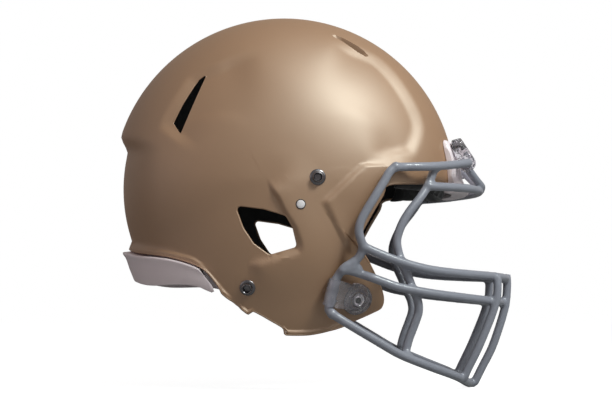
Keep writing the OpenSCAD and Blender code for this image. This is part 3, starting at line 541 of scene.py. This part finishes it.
def tube(name, path, r, body, closed=False):
    """A round rod along a path of points in millimetres."""
    curve = bpy.data.curves.new(name, "CURVE")
    curve.dimensions = "3D"
    curve.bevel_depth = r * mm
    curve.bevel_resolution = 4
    curve.use_fill_caps = not closed
    spline = curve.splines.new("POLY")
    spline.points.add(len(path) - 1)
    for point, p in zip(spline.points, path):
        point.co = (p[0] * mm, p[1] * mm, p[2] * mm, 1)
    spline.use_cyclic_u = closed
    rod = bpy.data.objects.new(name, curve)
    bpy.context.scene.collection.objects.link(rod)
    bpy.context.view_layer.update()
    mesh = bpy.data.meshes.new_from_object(rod.evaluated_get(bpy.context.evaluated_depsgraph_get()))
    bpy.data.objects.remove(rod)
    return placed(name, mesh, body)


def loft(name, stations, body, bevel=0.0):
    """A closed section carried from station to station by extrusion, with its ends filled."""
    bm = bmesh.new()
    ring = [bm.verts.new(Vector(p) * mm) for p in stations[0]]
    edges = [bm.edges.new((ring[k], ring[(k + 1) % len(ring)])) for k in range(len(ring))]
    bmesh.ops.contextual_create(bm, geom=edges)
    for station in stations[1:]:
        grown = bmesh.ops.extrude_edge_only(bm, edges=edges)["geom"]
        new_edges = [g for g in grown if isinstance(g, bmesh.types.BMEdge)]
        # The edges between the old and the new ring tell which new corner follows which old one
        between = [e for f in {f for e in new_edges for f in e.link_faces} for e in f.edges
                   if e not in new_edges and e not in edges]
        fresh = {}
        for e in between:
            a, b = e.verts
            if a in ring:
                fresh[ring.index(a)] = b
            elif b in ring:
                fresh[ring.index(b)] = a
        ring = [fresh[k] for k in range(len(ring))]
        for v, p in zip(ring, station):
            v.co = Vector(p) * mm
        edges = new_edges
    bmesh.ops.contextual_create(bm, geom=edges)
    bmesh.ops.recalc_face_normals(bm, faces=bm.faces)
    obj = mesh_object(name, bm, body)
    if bevel:
        mod = obj.modifiers.new("round", "BEVEL")
        mod.width = bevel * mm
        mod.segments = 3
        mod.limit_method = "ANGLE"
        mod.angle_limit = math.radians(24)
        apply_modifiers(obj)
        obj.data.shade_smooth()
    return obj


# The shell's lower edge is rounded over its whole wall, and a fine bead of the same painted
# plastic runs round each ear hole and each rear vent. The rim's section is given up the wall and
# in from the skin.
both = ((1, "right"), (-1, "left"))
rim_skin = on_skin(rim_line[:, 0], rim_line[:, 1])
rim_out = outward(rim_skin)
rim_way = np.gradient(rim_skin, axis=0)
rim_up = np.cross(rim_out, rim_way / np.linalg.norm(rim_way, axis=1, keepdims=True))
rim_section = [(0.6, -0.04), (0, -0.02), (-0.55, 0.25), (-0.95, 0.8), (-1.1, 1.5), (-1.1, 2.5),
               (-0.95, 3.2), (-0.55, 3.75), (0, 4.02), (0.6, 4.04)]
rims = []
for side, name in both:
    stations = [[(rim_skin[k] + u * rim_up[k] - v * rim_out[k]) * [1, side, 1] for u, v in rim_section]
                for k in range(len(rim_skin))]
    rims.append(loft("shell_rim_" + name, stations, "helmet"))


def rounded(corners):
    """The outline of a hull of circles in the side view."""
    pts = sorted({(x + r * math.cos(k * math.pi / 12), z + r * math.sin(k * math.pi / 12))
                  for x, z, r in corners for k in range(24)})

    def turn(a, b, c):
        return (b[0] - a[0]) * (c[1] - a[1]) - (b[1] - a[1]) * (c[0] - a[0])

    def chain(points):
        out = []
        for p in points:
            while len(out) > 1 and turn(out[-2], out[-1], p) <= 0:
                out.pop()
            out.append(p)
        return out[:-1]

    ring = chain(pts) + chain(pts[::-1])
    return spaced(np.array(ring + [ring[0]]), 1.5)[:-1]


def seen_at(ring, depth):
    """Points of the skin, sunk by a depth, that lie on an outline in the side view."""
    q = ring
    for _ in range(6):
        q = q + ring - on_skin(q[:, 0], q[:, 1], depth)[:, [0, 2]]
    return on_skin(q[:, 0], q[:, 1], depth)


hole_beads = []
for side, name in both:
    for hole, corners, depth, r in (("ear_hole", ear_corners, 1.1, 1.15), ("vent", vent_corners, 0.5, 0.6)):
        line = seen_at(rounded(corners), depth) * [1, side, 1]
        hole_beads.append(tube(hole + "_bead_" + name, line, r, "helmet", closed=True))
wear(gold, *rims, *hole_beads)

# Chin-strap snaps, air valves and the pins' receptacles. The snaps are polished steel studs on
# pressed washers, held by nuts inside; each air valve is a pale rubber plug in a black seat. The
# receptacles are steel cups in the jaw.


def turned(name, profile, base, axis, body, slot):
    """A right and a left piece turned on a lathe from pairs of radius and height, and stood on a
    point along an axis. A {} in the body's name stands for the side."""
    made = []
    for side, end in both:
        bm = bmesh.new()
        ring = [bm.verts.new((r * mm, 0, h * mm)) for r, h in profile]
        edges = [bm.edges.new((a, b)) for a, b in zip(ring[:-1], ring[1:])]
        bmesh.ops.spin(bm, geom=ring + edges, cent=(0, 0, 0), axis=(0, 0, 1), angle=2 * math.pi, steps=48,
                       use_merge=True)
        bmesh.ops.remove_doubles(bm, verts=bm.verts, dist=0.1 * one_point)
        bmesh.ops.recalc_face_normals(bm, faces=bm.faces)
        flip = Vector((1, side, 1))
        lean = (Vector(axis).normalized() * flip).to_track_quat("Z", "Y").to_matrix().to_4x4()
        bmesh.ops.transform(bm, matrix=Matrix.Translation(Vector(base) * mm * flip) @ lean, verts=bm.verts)
        made.append(mesh_object(name + "_" + end, bm, body.format(end)))
        made[-1].data.set_sharp_from_angle(angle=math.radians(35))
    return made


def stand(at):
    """The skin's place at a point of the side view, and the way that it faces there."""
    x, z = np.array([at[0]], float), np.array([at[1]], float)
    return on_skin(x, z)[0], outward(np.stack([x, -half_y(x, z), z], axis=1))[0]


# The steel's dark base colour is a painted dark reflection of the surroundings that the polished studs
# mirror. It is also painted shade for the dark centres of their bores. Real steel is lighter.
steel, place, feed, bump = finish("polished_steel", (0.19, 0.18, 0.19), 0.16, Metallic=1.0)
feed("Roughness", 0.16 + 0.16 * place.noise(700, 2))
bump(place.noise(1600, 2), 0.02, 0.4)
zinc, place, feed, bump = finish("zinc_plate", (0.40, 0.40, 0.42), 0.4, Metallic=1.0)
feed("Roughness", 0.32 + 0.2 * place.noise(500, 2))
bump(place.noise(1100, 2), 0.03, 0.4)
stud_profile = [(0, 0.4), (2.5, 0.5), (2.8, 3.8), (3.2, 4.9), (3.6, 5.2), (4.1, 5.0), (4.45, 4.3),
                (4.5, 3.4), (4.1, 2.4), (4.2, 1.5), (2.5, 1.35), (2.5, -9), (0, -9)]
washer_profile = [(2.6, 0.2), (6.5, 0.2), (6.6, 0.5), (6.2, 1.0), (5.2, 1.35), (2.6, 1.35), (2.6, 0.2)]
studs, washers = [], []
for name, at in (("upper", (33, 2)), ("lower", (-25, -88))):
    studs += turned("snap_stud_" + name, stud_profile, *stand(at), "helmet", "steel")
    washers += turned("snap_washer_" + name, washer_profile, *stand(at), "helmet", "steel")
wear(steel, *studs, *washers)
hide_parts("snap_studs")
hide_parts("snap_washers")
rubber, place, feed, bump = finish("valve_rubber", (0.80, 0.76, 0.78), 0.5)
feed("Base Color", place.noise(300, 2).blend((0.74, 0.70, 0.72, 1), (0.86, 0.83, 0.85, 1)))
bump(place.noise(900, 2), 0.04, 0.5)
valve_profile = [(0, 1.35), (2.4, 1.3), (3.1, 1.05), (3.4, 0.5), (3.3, 0.1), (3.0, -9), (0, -9)]
seat_profile = [(3.2, -1), (3.3, 0.45), (3.7, 0.6), (4.15, 0.35), (4.2, -1), (3.2, -1)]
valve_at = (19, -20)
valves = turned("air_valve", valve_profile, *stand(valve_at), "helmet", "valve_rubber")
wear(rubber, *valves)
valve_seats = turned("valve_seat", seat_profile, *stand(valve_at), "helmet", "valve_rubber")
wear(lining, *valve_seats)
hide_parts("air_valves")
wear(zinc, nodes["snap_nuts"], nodes["brow_clip_nuts"])
wear(steel, nodes["receptacle_right"], nodes["receptacle_left"], nodes["rear_bumper_screws"])

# Bumpers. Smooth white mouldings: the front one caps the brow's edge and has a thick lower lip,
# the rear one hangs under the neck's edge and has a tongue screwed to the shell from inside.
bumper_half, bumper_t, bumper_corner, bumper_thins, bumper_steps = 47.5, 5.5, 7, 0.35, 60


def brow_point(y, z, off):
    """A point of the brow at a height, moved level off the skin."""
    r = crown_r * (1 - (abs(y) / half_width) ** cross) ** (1 / cross)
    p = np.array([math.sqrt(r * r - z * z), y, z])
    n = outward(p[None, :])[0]
    h = np.array([n[0], n[1], 0])
    return p + off * h / np.linalg.norm(h)


bumper_section = [(40, 0.3), (40, 1.4), (39, 3.0), (36.5, 4.3), (32, 5.2), (24, 5.5), (15, 5.5), (9, 5.8),
                  (4, 7.8), (0, 10.2), (-2.6, 11.6), (-4.6, 11.4), (-6.0, 9.6), (-6.4, 7), (-6, 0),
                  (-6, -3.8), (0.4, -3.8), (0.4, 0), (4, 0.3), (22, 0.3)]
stations = []
for k in range(bumper_steps + 1):
    y = -bumper_half + 2 * bumper_half * k / bumper_steps
    thin = 1 - bumper_thins * (abs(y) / bumper_half) ** 4
    corner = max(0, (abs(y) - bumper_half + bumper_corner) / bumper_corner)
    low = bumper_corner * (1 - math.sqrt(1 - corner ** 2))
    stations.append([brow_point(y, z - low * ease((z - 20) / 20), off * thin if off > bumper_t else off)
                     for z, off in bumper_section])
front_bumper = loft("front_bumper_moulding", stations, "helmet", 0.5)
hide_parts("front_bumper")

rear_h, rear_end, rear_thins, rear_steps = 29.0, -66.0, 0.5, 72
end_taper, end_drop, end_from, end_run = 0.42, 4, 0.82, 0.18
end_slant = ([0, 0.82, 1], [2, 18, 12])
tongue_inset, relief_share, tilt = 7, 0.4, 0.3
neck_line = lower_edge[:np.argmax(lower_edge[:, 0] > -51)]


def rear_point(t, dz, off):
    """A point of the rear bumper: t goes from 1 at its left end to -1 at its right end, dz is the
    height over the neck's edge, and off the distance from the skin."""
    f = min(1, max(0, -dz / rear_h))
    u = 1 - math.cos(math.radians(90 * abs(t)))
    nape = neck_line[0][0]
    top = float(np.interp(nape + (rear_end - nape) * u, neck_line[:, 0], neck_line[:, 1]))
    near_end = float(ease((abs(t) - end_from) / end_run))
    z = top + dz * (1 - end_taper * f * t * t) - end_drop * f * near_end
    a = math.degrees(math.atan2(z, -crown_r)) % 360
    start = -math.sqrt(float(back_r(np.array([a]), np.array([1.0]))[0]) ** 2 - z * z)
    end = rear_end + float(np.interp(f, *end_slant)) - (tongue_inset if off < 0 else 0)
    x = start + (end - start) * u
    y = float(half_y(np.array([x]), np.array([z]))[0])
    p = np.array([[x, -y, z]])
    n = outward(p)[0]
    drop = relief_share * float(relief(np.array([x]), np.array([top]))[0])
    side = -1 if t > 0 else 1
    return np.array([x + off * n[0], (-y + off * n[1]) * side, z + tilt * off * n[2] - drop])


rear_section = [(-0.5, 10.6), (-1.0, 11.3), (-2.4, 11.6), (-6, 10.2), (-9, 9.8), (-16, 9.7),
                (-rear_h + 2.5, 9.4), (-rear_h + 0.6, 8.9), (-rear_h, 7.8), (-rear_h, 3.4),
                (-0.4 * rear_h, -7.6), (13, -7.6), (13, -4.9), (-0.5, -4.9)]
stations = []
for k in range(rear_steps + 1):
    t = 1 - 2 * k / rear_steps
    thin = 1 - rear_thins * abs(t) ** 1.5
    stations.append([rear_point(t, dz, off * thin if off > 0 else off) for dz, off in rear_section])
rear_bumper = loft("rear_bumper_moulding", stations, "helmet", 0.5)
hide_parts("rear_bumper")
white, place, feed, bump = finish("white_moulding", (0.88, 0.77, 0.80), 0.34)
feed("Base Color", place.noise(25, 3).blend((0.85, 0.735, 0.765, 1), (0.91, 0.80, 0.83, 1)))
feed("Roughness", 0.28 + 0.14 * place.noise(160, 2))
bump(place.noise(700, 2), 0.04, 0.4)
wear(white, front_bumper, rear_bumper)

# Face guard. Bent steel wire, welded where it crosses and dipped in a thick grey coating, which
# fills the corners of the welds. The whole cage swings on the straight run of its top bar.
bar_r, bar_space = 3.75, 2.4
pivot = np.array([crown_r + 8.5, 0, 19.5])
run_in, run_out = 27, 49


def beside(x, z, extra):
    """A bar's middle beside the right of the shell, with some extra room."""
    side_y = float(half_y(np.array([float(x)]), np.array([float(z)]))[0])
    return (x, -(side_y + bar_space + bar_r) - extra, z)


def across(points):
    """A bar's points from the right side to the middle, carried on to the left side."""
    return list(points) + [(p[0], -p[1], p[2]) for p in points[-2::-1]]


top_corner = beside(97, 11, 6)
leg_joint = beside(62, -67.5, 2.5)
top_half = [top_corner, beside(105, 11.5, 5), (118, -98, 12), (133, -86, 13.5), (147, -70, 16),
            (pivot[0] - 1.6, -run_out - 6, pivot[2] - 0.8), (pivot[0], -run_out, pivot[2]),
            (pivot[0], -(run_out + run_in) / 2, pivot[2]), (pivot[0], -run_in, pivot[2]),
            (pivot[0] + 2, -run_in + 6, pivot[2] - 3.5), (pivot[0] + 9, -run_in + 14, pivot[2] - 12),
            (crown_r + 22.5, -5, 2.6), (crown_r + 23, 0, 1.6)]
brow_half = [(124, -88, -3.4), (132, -82.5, -3.4), (146, -69, -3), (159, -50, -2.6), (169, -27, -2.4),
             (crown_r + 20, -9, -2.4), (crown_r + 20.6, 0, -2.4)]
upper_half = [beside(71, -55, 6.5), (84, -107.5, -60.6), (101, -103.5, -67), (122, -95.5, -72.5),
              (143, -82, -75.2), (166, -62, -76.8), (183, -40, -77.8), (193, -18, -78.7), (195, 0, -79)]
middle_half = [beside(54.4, -73.6, 2), beside(60, -74.3, 2.6), beside(68.4, -76.9, 3.2),
               (78, -105.2, -80.2), (88.2, -103.5, -83.9), (101, -100.5, -88), (126, -91, -92.5),
               (151, -74, -95.6), (173, -51, -98), (186, -27, -99.3), (191.5, 0, -99.7)]
lower_half = [beside(44.5, -109.5, 9.5), (58.2, -105, -118.1), (79.4, -100, -130.8), (100.4, -92.5, -143),
              (125.4, -77, -153.4), (148.4, -52, -162.4), (159.4, -26, -168.6), (163, 0, -170.4)]
upright = [top_corner, beside(92, 7, 5), beside(88, 0, 4.5), beside(79, -15, 4.5), beside(69, -32, 5),
           beside(66.5, -42, 5.5), beside(68.5, -50, 6.5), beside(69.5, -56, 5.5), beside(67, -62.5, 4),
           leg_joint]
leg_y = beside(45, -93, 1.2)[1]
leg_top, leg_foot = np.array([46.5, leg_y, -84]), np.array([42, leg_y, -102.5])
leg_way = (leg_top - leg_foot) / np.linalg.norm(leg_top - leg_foot)
rear_leg = [leg_joint, beside(55, -71.5, 1.8), (50, leg_y - 0.2, -77.5), tuple(leg_top + 1.5 * leg_way),
            tuple(leg_top), tuple(leg_foot), tuple(leg_foot - 1.5 * leg_way), (41.8, leg_y, -106.5),
            beside(44.5, -109.5, 9.5)]
eye = [(130, -83, 12), (124, -86, -3), (117, -91, -14), (108.5, -95, -25), (102, -97, -36),
       (98, -97.5, -48), (99, -97.5, -58), (102, -97.5, -67), (107, -94.5, -78.5), (111, -91.5, -89),
       (115, -89.5, -98), (116, -87.5, -107), (113, -86.5, -117), (108, -85.5, -130), (105, -85.5, -141)]
front = [(185, -43, -79), (185, -44, -86), (184, -44.5, -97), (180, -44.5, -110), (174, -44.5, -125),
         (167, -44.5, -141), (159, -43.5, -157), (156.5, -43, -163)]
centre = [(196.5, 0, -75.5), (197.3, 0, -82), (196.2, 0, -98), (193.8, 0, -109), (188.8, 0, -125),
          (182.8, 0, -141), (174.5, 0, -157), (167.5, 0, -171)]
runs = [across(top_half), across(brow_half), across(upper_half), across(middle_half), across(lower_half),
        centre]
for path in (upright, rear_leg, eye, front):
    runs += [path, [(p[0], -p[1], p[2]) for p in path]]
curves = [traced(path, 2.5) for path in runs]
coat_t, weld_gap, weld_r, web_r, dip_voxel = 0.05, 0.6, 4.4, 3.9, 1.1
bars = [tube("bar", path, bar_r + coat_t, "face_guard") for path in curves]
welds = []
for m in range(len(curves)):
    for n in range(m + 1, len(curves)):
        gaps = np.linalg.norm(curves[m][:, None] - curves[n][None], axis=2)
        a, b = np.unravel_index(np.argmin(gaps), gaps.shape)
        if gaps[a, b] < 2 * bar_r + weld_gap:
            welds.append((curves[m][a] + curves[n][b]) / 2)
bm = bmesh.new()
for bar in bars:
    bm.from_mesh(bar.data)
    bpy.data.objects.remove(bar)


def add_ball(bm, at, r):
    """A ball of weld metal."""
    bmesh.ops.create_icosphere(bm, subdivisions=3, radius=r * mm,
                               matrix=Matrix.Translation(Vector(at) * mm))


for at in welds:
    add_ball(bm, at, weld_r)
# The weld where the upright, the middle bar and the rear leg meet is built up into a web
for x, z in ((57.7, -72.1), (60.5, -70.4), (63.5, -70.4), (65.8, -72.5), (63.5, -74.5), (59.4, -74)):
    web = beside(x, z, 2.6)
    for side in (1, -1):
        add_ball(bm, (web[0], web[1] * side, web[2]), web_r)
cage = mesh_object("wire_cage", bm, "face_guard")
dip = cage.modifiers.new("dip", "REMESH")
dip.mode = "VOXEL"
dip.voxel_size = dip_voxel * mm
flow = cage.modifiers.new("flow", "SMOOTH")
flow.factor = 0.5
flow.iterations = 5
apply_modifiers(cage)
cage.data.shade_smooth()
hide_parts("top_bar", "brow_bar", "upper_bar", "middle_bar", "lower_bar", "centre_bar",
            "eye_bar_right", "eye_bar_left", "front_bar_right", "front_bar_left",
            "upright_right", "upright_left", "rear_leg_right", "rear_leg_left")
coating, place, feed, bump = finish("grey_coating", (0.245, 0.252, 0.298), 0.3, Coat_Weight=0.3,
                                    Coat_Roughness=0.2)
feed("Base Color", place.noise(60, 3).blend((0.225, 0.232, 0.275, 1), (0.268, 0.275, 0.325, 1)))
feed("Roughness", 0.28 + 0.12 * place.noise(220, 2))
bump(place.noise(330, 2) * 0.7 + place.noise(1500, 1) * 0.3, 0.12, 0.35)
wear(coating, cage)

# Brow clips. Clear plastic blocks screwed through the bumper and the shell; each wraps the top
# bar of the guard, which turns in it.
clip_side, clip_half, screw_height, ring_t = 38.0, 7.5, 34.0, 3.0
foot_r, foot_low, foot_high = 6.0, 0.7, 8.4
clip_base = brow_point(-clip_side, screw_height, bumper_t)
clip_n = outward(brow_point(-clip_side, screw_height, 0)[None, :])[0]
clear, place, feed, bump = finish("clear_plastic", (0.70, 0.68, 0.72), 0.04, Transmission_Weight=0.92,
                                  IOR=1.5, Coat_Weight=1.0, Coat_Roughness=0.03)
feed("Base Color", place.noise(90, 2).blend((0.50, 0.47, 0.52, 1), (0.98, 0.95, 0.99, 1)))
feed("Roughness", 0.02 + 0.05 * place.noise(300, 2))
bump(place.noise(110, 2), 6, 0.8)


def soft_block(name, parts, body):
    """Solids melted into one moulding with soft corners."""
    bm = bmesh.new()
    for corners in parts:
        add_hull(bm, corners)
    bmesh.ops.recalc_face_normals(bm, faces=bm.faces)
    obj = mesh_object(name, bm, body)
    melt = obj.modifiers.new("melt", "REMESH")
    melt.mode = "VOXEL"
    melt.voxel_size = 0.6 * mm
    soft = obj.modifiers.new("soft", "SMOOTH")
    soft.factor = 0.5
    soft.iterations = 4
    apply_modifiers(obj)
    obj.data.shade_smooth()
    return obj


def rod_points(a, b, r):
    """Points on the two rims of a rod from a to b."""
    turn = (b - a).to_track_quat("Z", "Y")
    turns = [2 * math.pi * k / 32 for k in range(32)]
    return [end + turn @ Vector((r * math.cos(t), r * math.sin(t), 0)) for end in (a, b) for t in turns]


clips = []
for side, name in both:
    flip = Vector((1, side, 1))
    base, n = Vector(clip_base) * flip, Vector(clip_n) * flip
    foot = rod_points(base + foot_low * n, base + foot_high * n, foot_r)
    ends = [Vector((pivot[0], -side * (clip_side + reach), pivot[2])) for reach in (-clip_half, clip_half)]
    ring = rod_points(*ends, bar_r + ring_t)
    clips.append(soft_block("brow_clip_moulding_" + name, [foot + ring], "helmet"))
    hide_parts("brow_clip_" + name)
wear(clear, *clips)
screw_profile = [(0, 7.4), (1.4, 7.4), (1.5, 9.2), (2.2, 9.7), (3.4, 9.4), (4.1, 8.6), (4.2, 7.0),
                 (1.9, 6.6), (1.9, -9), (0, -9)]
clip_screws = turned("brow_clip_screw", screw_profile, clip_base, clip_n, "helmet", "steel")
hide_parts("brow_clip_screws")
wear(steel, *clip_screws)

# Side retainers. A clear plastic plate, moulded in rings, with a loop round the guard's rear leg;
# a steel pin with a sunk dark button in its middle releases it from the jaw.
release_at = (64, -97)
release_base, release_n = stand(release_at)
seat = release_base + 1.5 * release_n
plate_r, plate_low, plate_high = 12.6, 0.4, 3.9
root_r, root_low, root_high = 10.5, 1.4, 4.1
loop_t, loop_down, loop_up = 2.0, 10.5, 12.5
retainers, leg_mid = [], (leg_top + leg_foot) / 2
for side, name in both:
    flip = Vector((1, side, 1))
    s, n = Vector(seat) * flip, Vector(release_n) * flip
    low, high = Vector(leg_mid - loop_down * leg_way) * flip, Vector(leg_mid + loop_up * leg_way) * flip
    plate = rod_points(s + plate_low * n, s + plate_high * n, plate_r)
    root = rod_points(s + root_low * n, s + root_high * n, root_r)
    loop = rod_points(low, high, bar_r + loop_t)
    retainers.append(soft_block("side_retainer_moulding_" + name, [plate, root + loop], "retainer_" + name))
    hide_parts("side_retainer_" + name)
boss_profile = [(6.6, 4.2), (6.7, 5.6), (7.4, 6.3), (8.3, 5.9), (9.0, 4.9), (10.0, 4.8), (11.0, 5.6),
                (12.2, 5.9), (13.2, 5.2), (13.6, 3.6), (13.4, 1.0), (12.6, 0.2), (6.6, 0.2), (6.6, 4.2)]
pin_profile = [(2.4, 3.0), (2.4, 6.0), (2.7, 6.7), (3.3, 6.5), (4.0, 5.4), (4.6, 5.9), (5.2, 6.6),
               (5.7, 6.3), (5.9, 5.4), (5.8, 4.1), (5.4, 4.0), (5.4, 0.1), (2.4, 0.1), (2.4, 3.0)]
bosses = turned("retainer_boss", boss_profile, seat, release_n, "retainer_{}", "clear_plastic")
wear(clear, *retainers, *bosses)
pins = turned("release_pin_cap", pin_profile, seat, release_n, "retainer_{}", "steel")
for pin, (side, name) in zip(pins, both):
    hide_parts("release_pin_" + name)
chrome, place, feed, bump = finish("chrome_ring", (0.82, 0.80, 0.82), 0.1, Metallic=1.0)
feed("Roughness", 0.07 + 0.10 * place.noise(600, 2))
bump(place.noise(900, 2), 0.04, 0.5)
wear(chrome, *pins)
dark, place, feed, bump = finish("dark_button", (0.02, 0.02, 0.022), 0.45)
feed("Roughness", 0.38 + 0.2 * place.noise(900, 2))
bump(place.noise(1500, 1), 0.02, 0.4)
wear(dark, nodes["release_button_right"], nodes["release_button_left"])

# Liner. Black cushions in a smooth knitted cover, stuffed with foam and air cells; each is sewn
# round its edge and swells between the seams.
cover, place, feed, bump = finish("black_cover", (0.018, 0.018, 0.02), 0.75, Sheen_Weight=0.25)
weave = place.add("ShaderNodeTexWave", {"wave_type": "BANDS", "bands_direction": "DIAGONAL"},
                  {"Vector": place, "Scale": 420.0, "Distortion": 1.5, "Detail": 1.0}, "Fac")
shade = place.noise(70, 3) * 0.6 + weave * 0.4
feed("Base Color", shade.blend((0.011, 0.011, 0.012, 1), (0.034, 0.034, 0.037, 1)))
feed("Roughness", 0.66 + 0.22 * place.noise(150, 2))
bump(weave * 0.5 + place.noise(1300, 2) * 0.5, 0.12, 0.6)
pad_nodes = ["front_pad", "crown_pads", "back_pad", "neck_pad", "temple_pad_right", "temple_pad_left",
             "cheek_pad_right", "cheek_pad_left", "jaw_pad_right", "jaw_pad_left"]
pad_shrink, pad_voxel, most_swell, air_frames = 1.5 * mm, 5 * mm, 1.5 * mm, 20
for node in pad_nodes:
    bm = bmesh.new()
    bm.from_mesh(nodes[node].data)
    bmesh.ops.remove_doubles(bm, verts=bm.verts, dist=one_point)
    pad = mesh_object(node + "_cushion", bm, "helmet")
    shrink = pad.modifiers.new("shrink", "DISPLACE")
    shrink.direction = "NORMAL"
    shrink.mid_level = 0.0
    shrink.strength = -pad_shrink
    remesh = pad.modifiers.new("remesh", "REMESH")
    remesh.mode = "VOXEL"
    remesh.voxel_size = pad_voxel
    apply_modifiers(pad)
    # Air inside swells the cover in a cloth simulation, and no point moves further than most_swell
    bpy.context.scene.frame_start, bpy.context.scene.frame_end = 1, air_frames
    before = np.array([v.co[:] for v in pad.data.vertices])
    cloth = pad.modifiers.new("air", "CLOTH")
    cloth.settings.use_pressure = True
    cloth.settings.uniform_pressure_force = 4
    cloth.settings.effector_weights.gravity = 0
    for step in range(1, air_frames + 1):
        bpy.context.scene.frame_set(step)
    apply_modifiers(pad)
    bpy.context.scene.frame_set(1)
    move = np.array([v.co[:] for v in pad.data.vertices]) - before
    size = np.linalg.norm(move, axis=1, keepdims=True)
    move *= np.minimum(1, most_swell / np.maximum(size, 1e-9))
    for v, p in zip(pad.data.vertices, before + move):
        v.co = p
    puff = pad.modifiers.new("puff", "SUBSURF")
    puff.levels = puff.render_levels = 1
    apply_modifiers(pad)
    pad.data.shade_smooth()
    wear(cover, pad)
    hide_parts(node)

low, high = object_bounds()
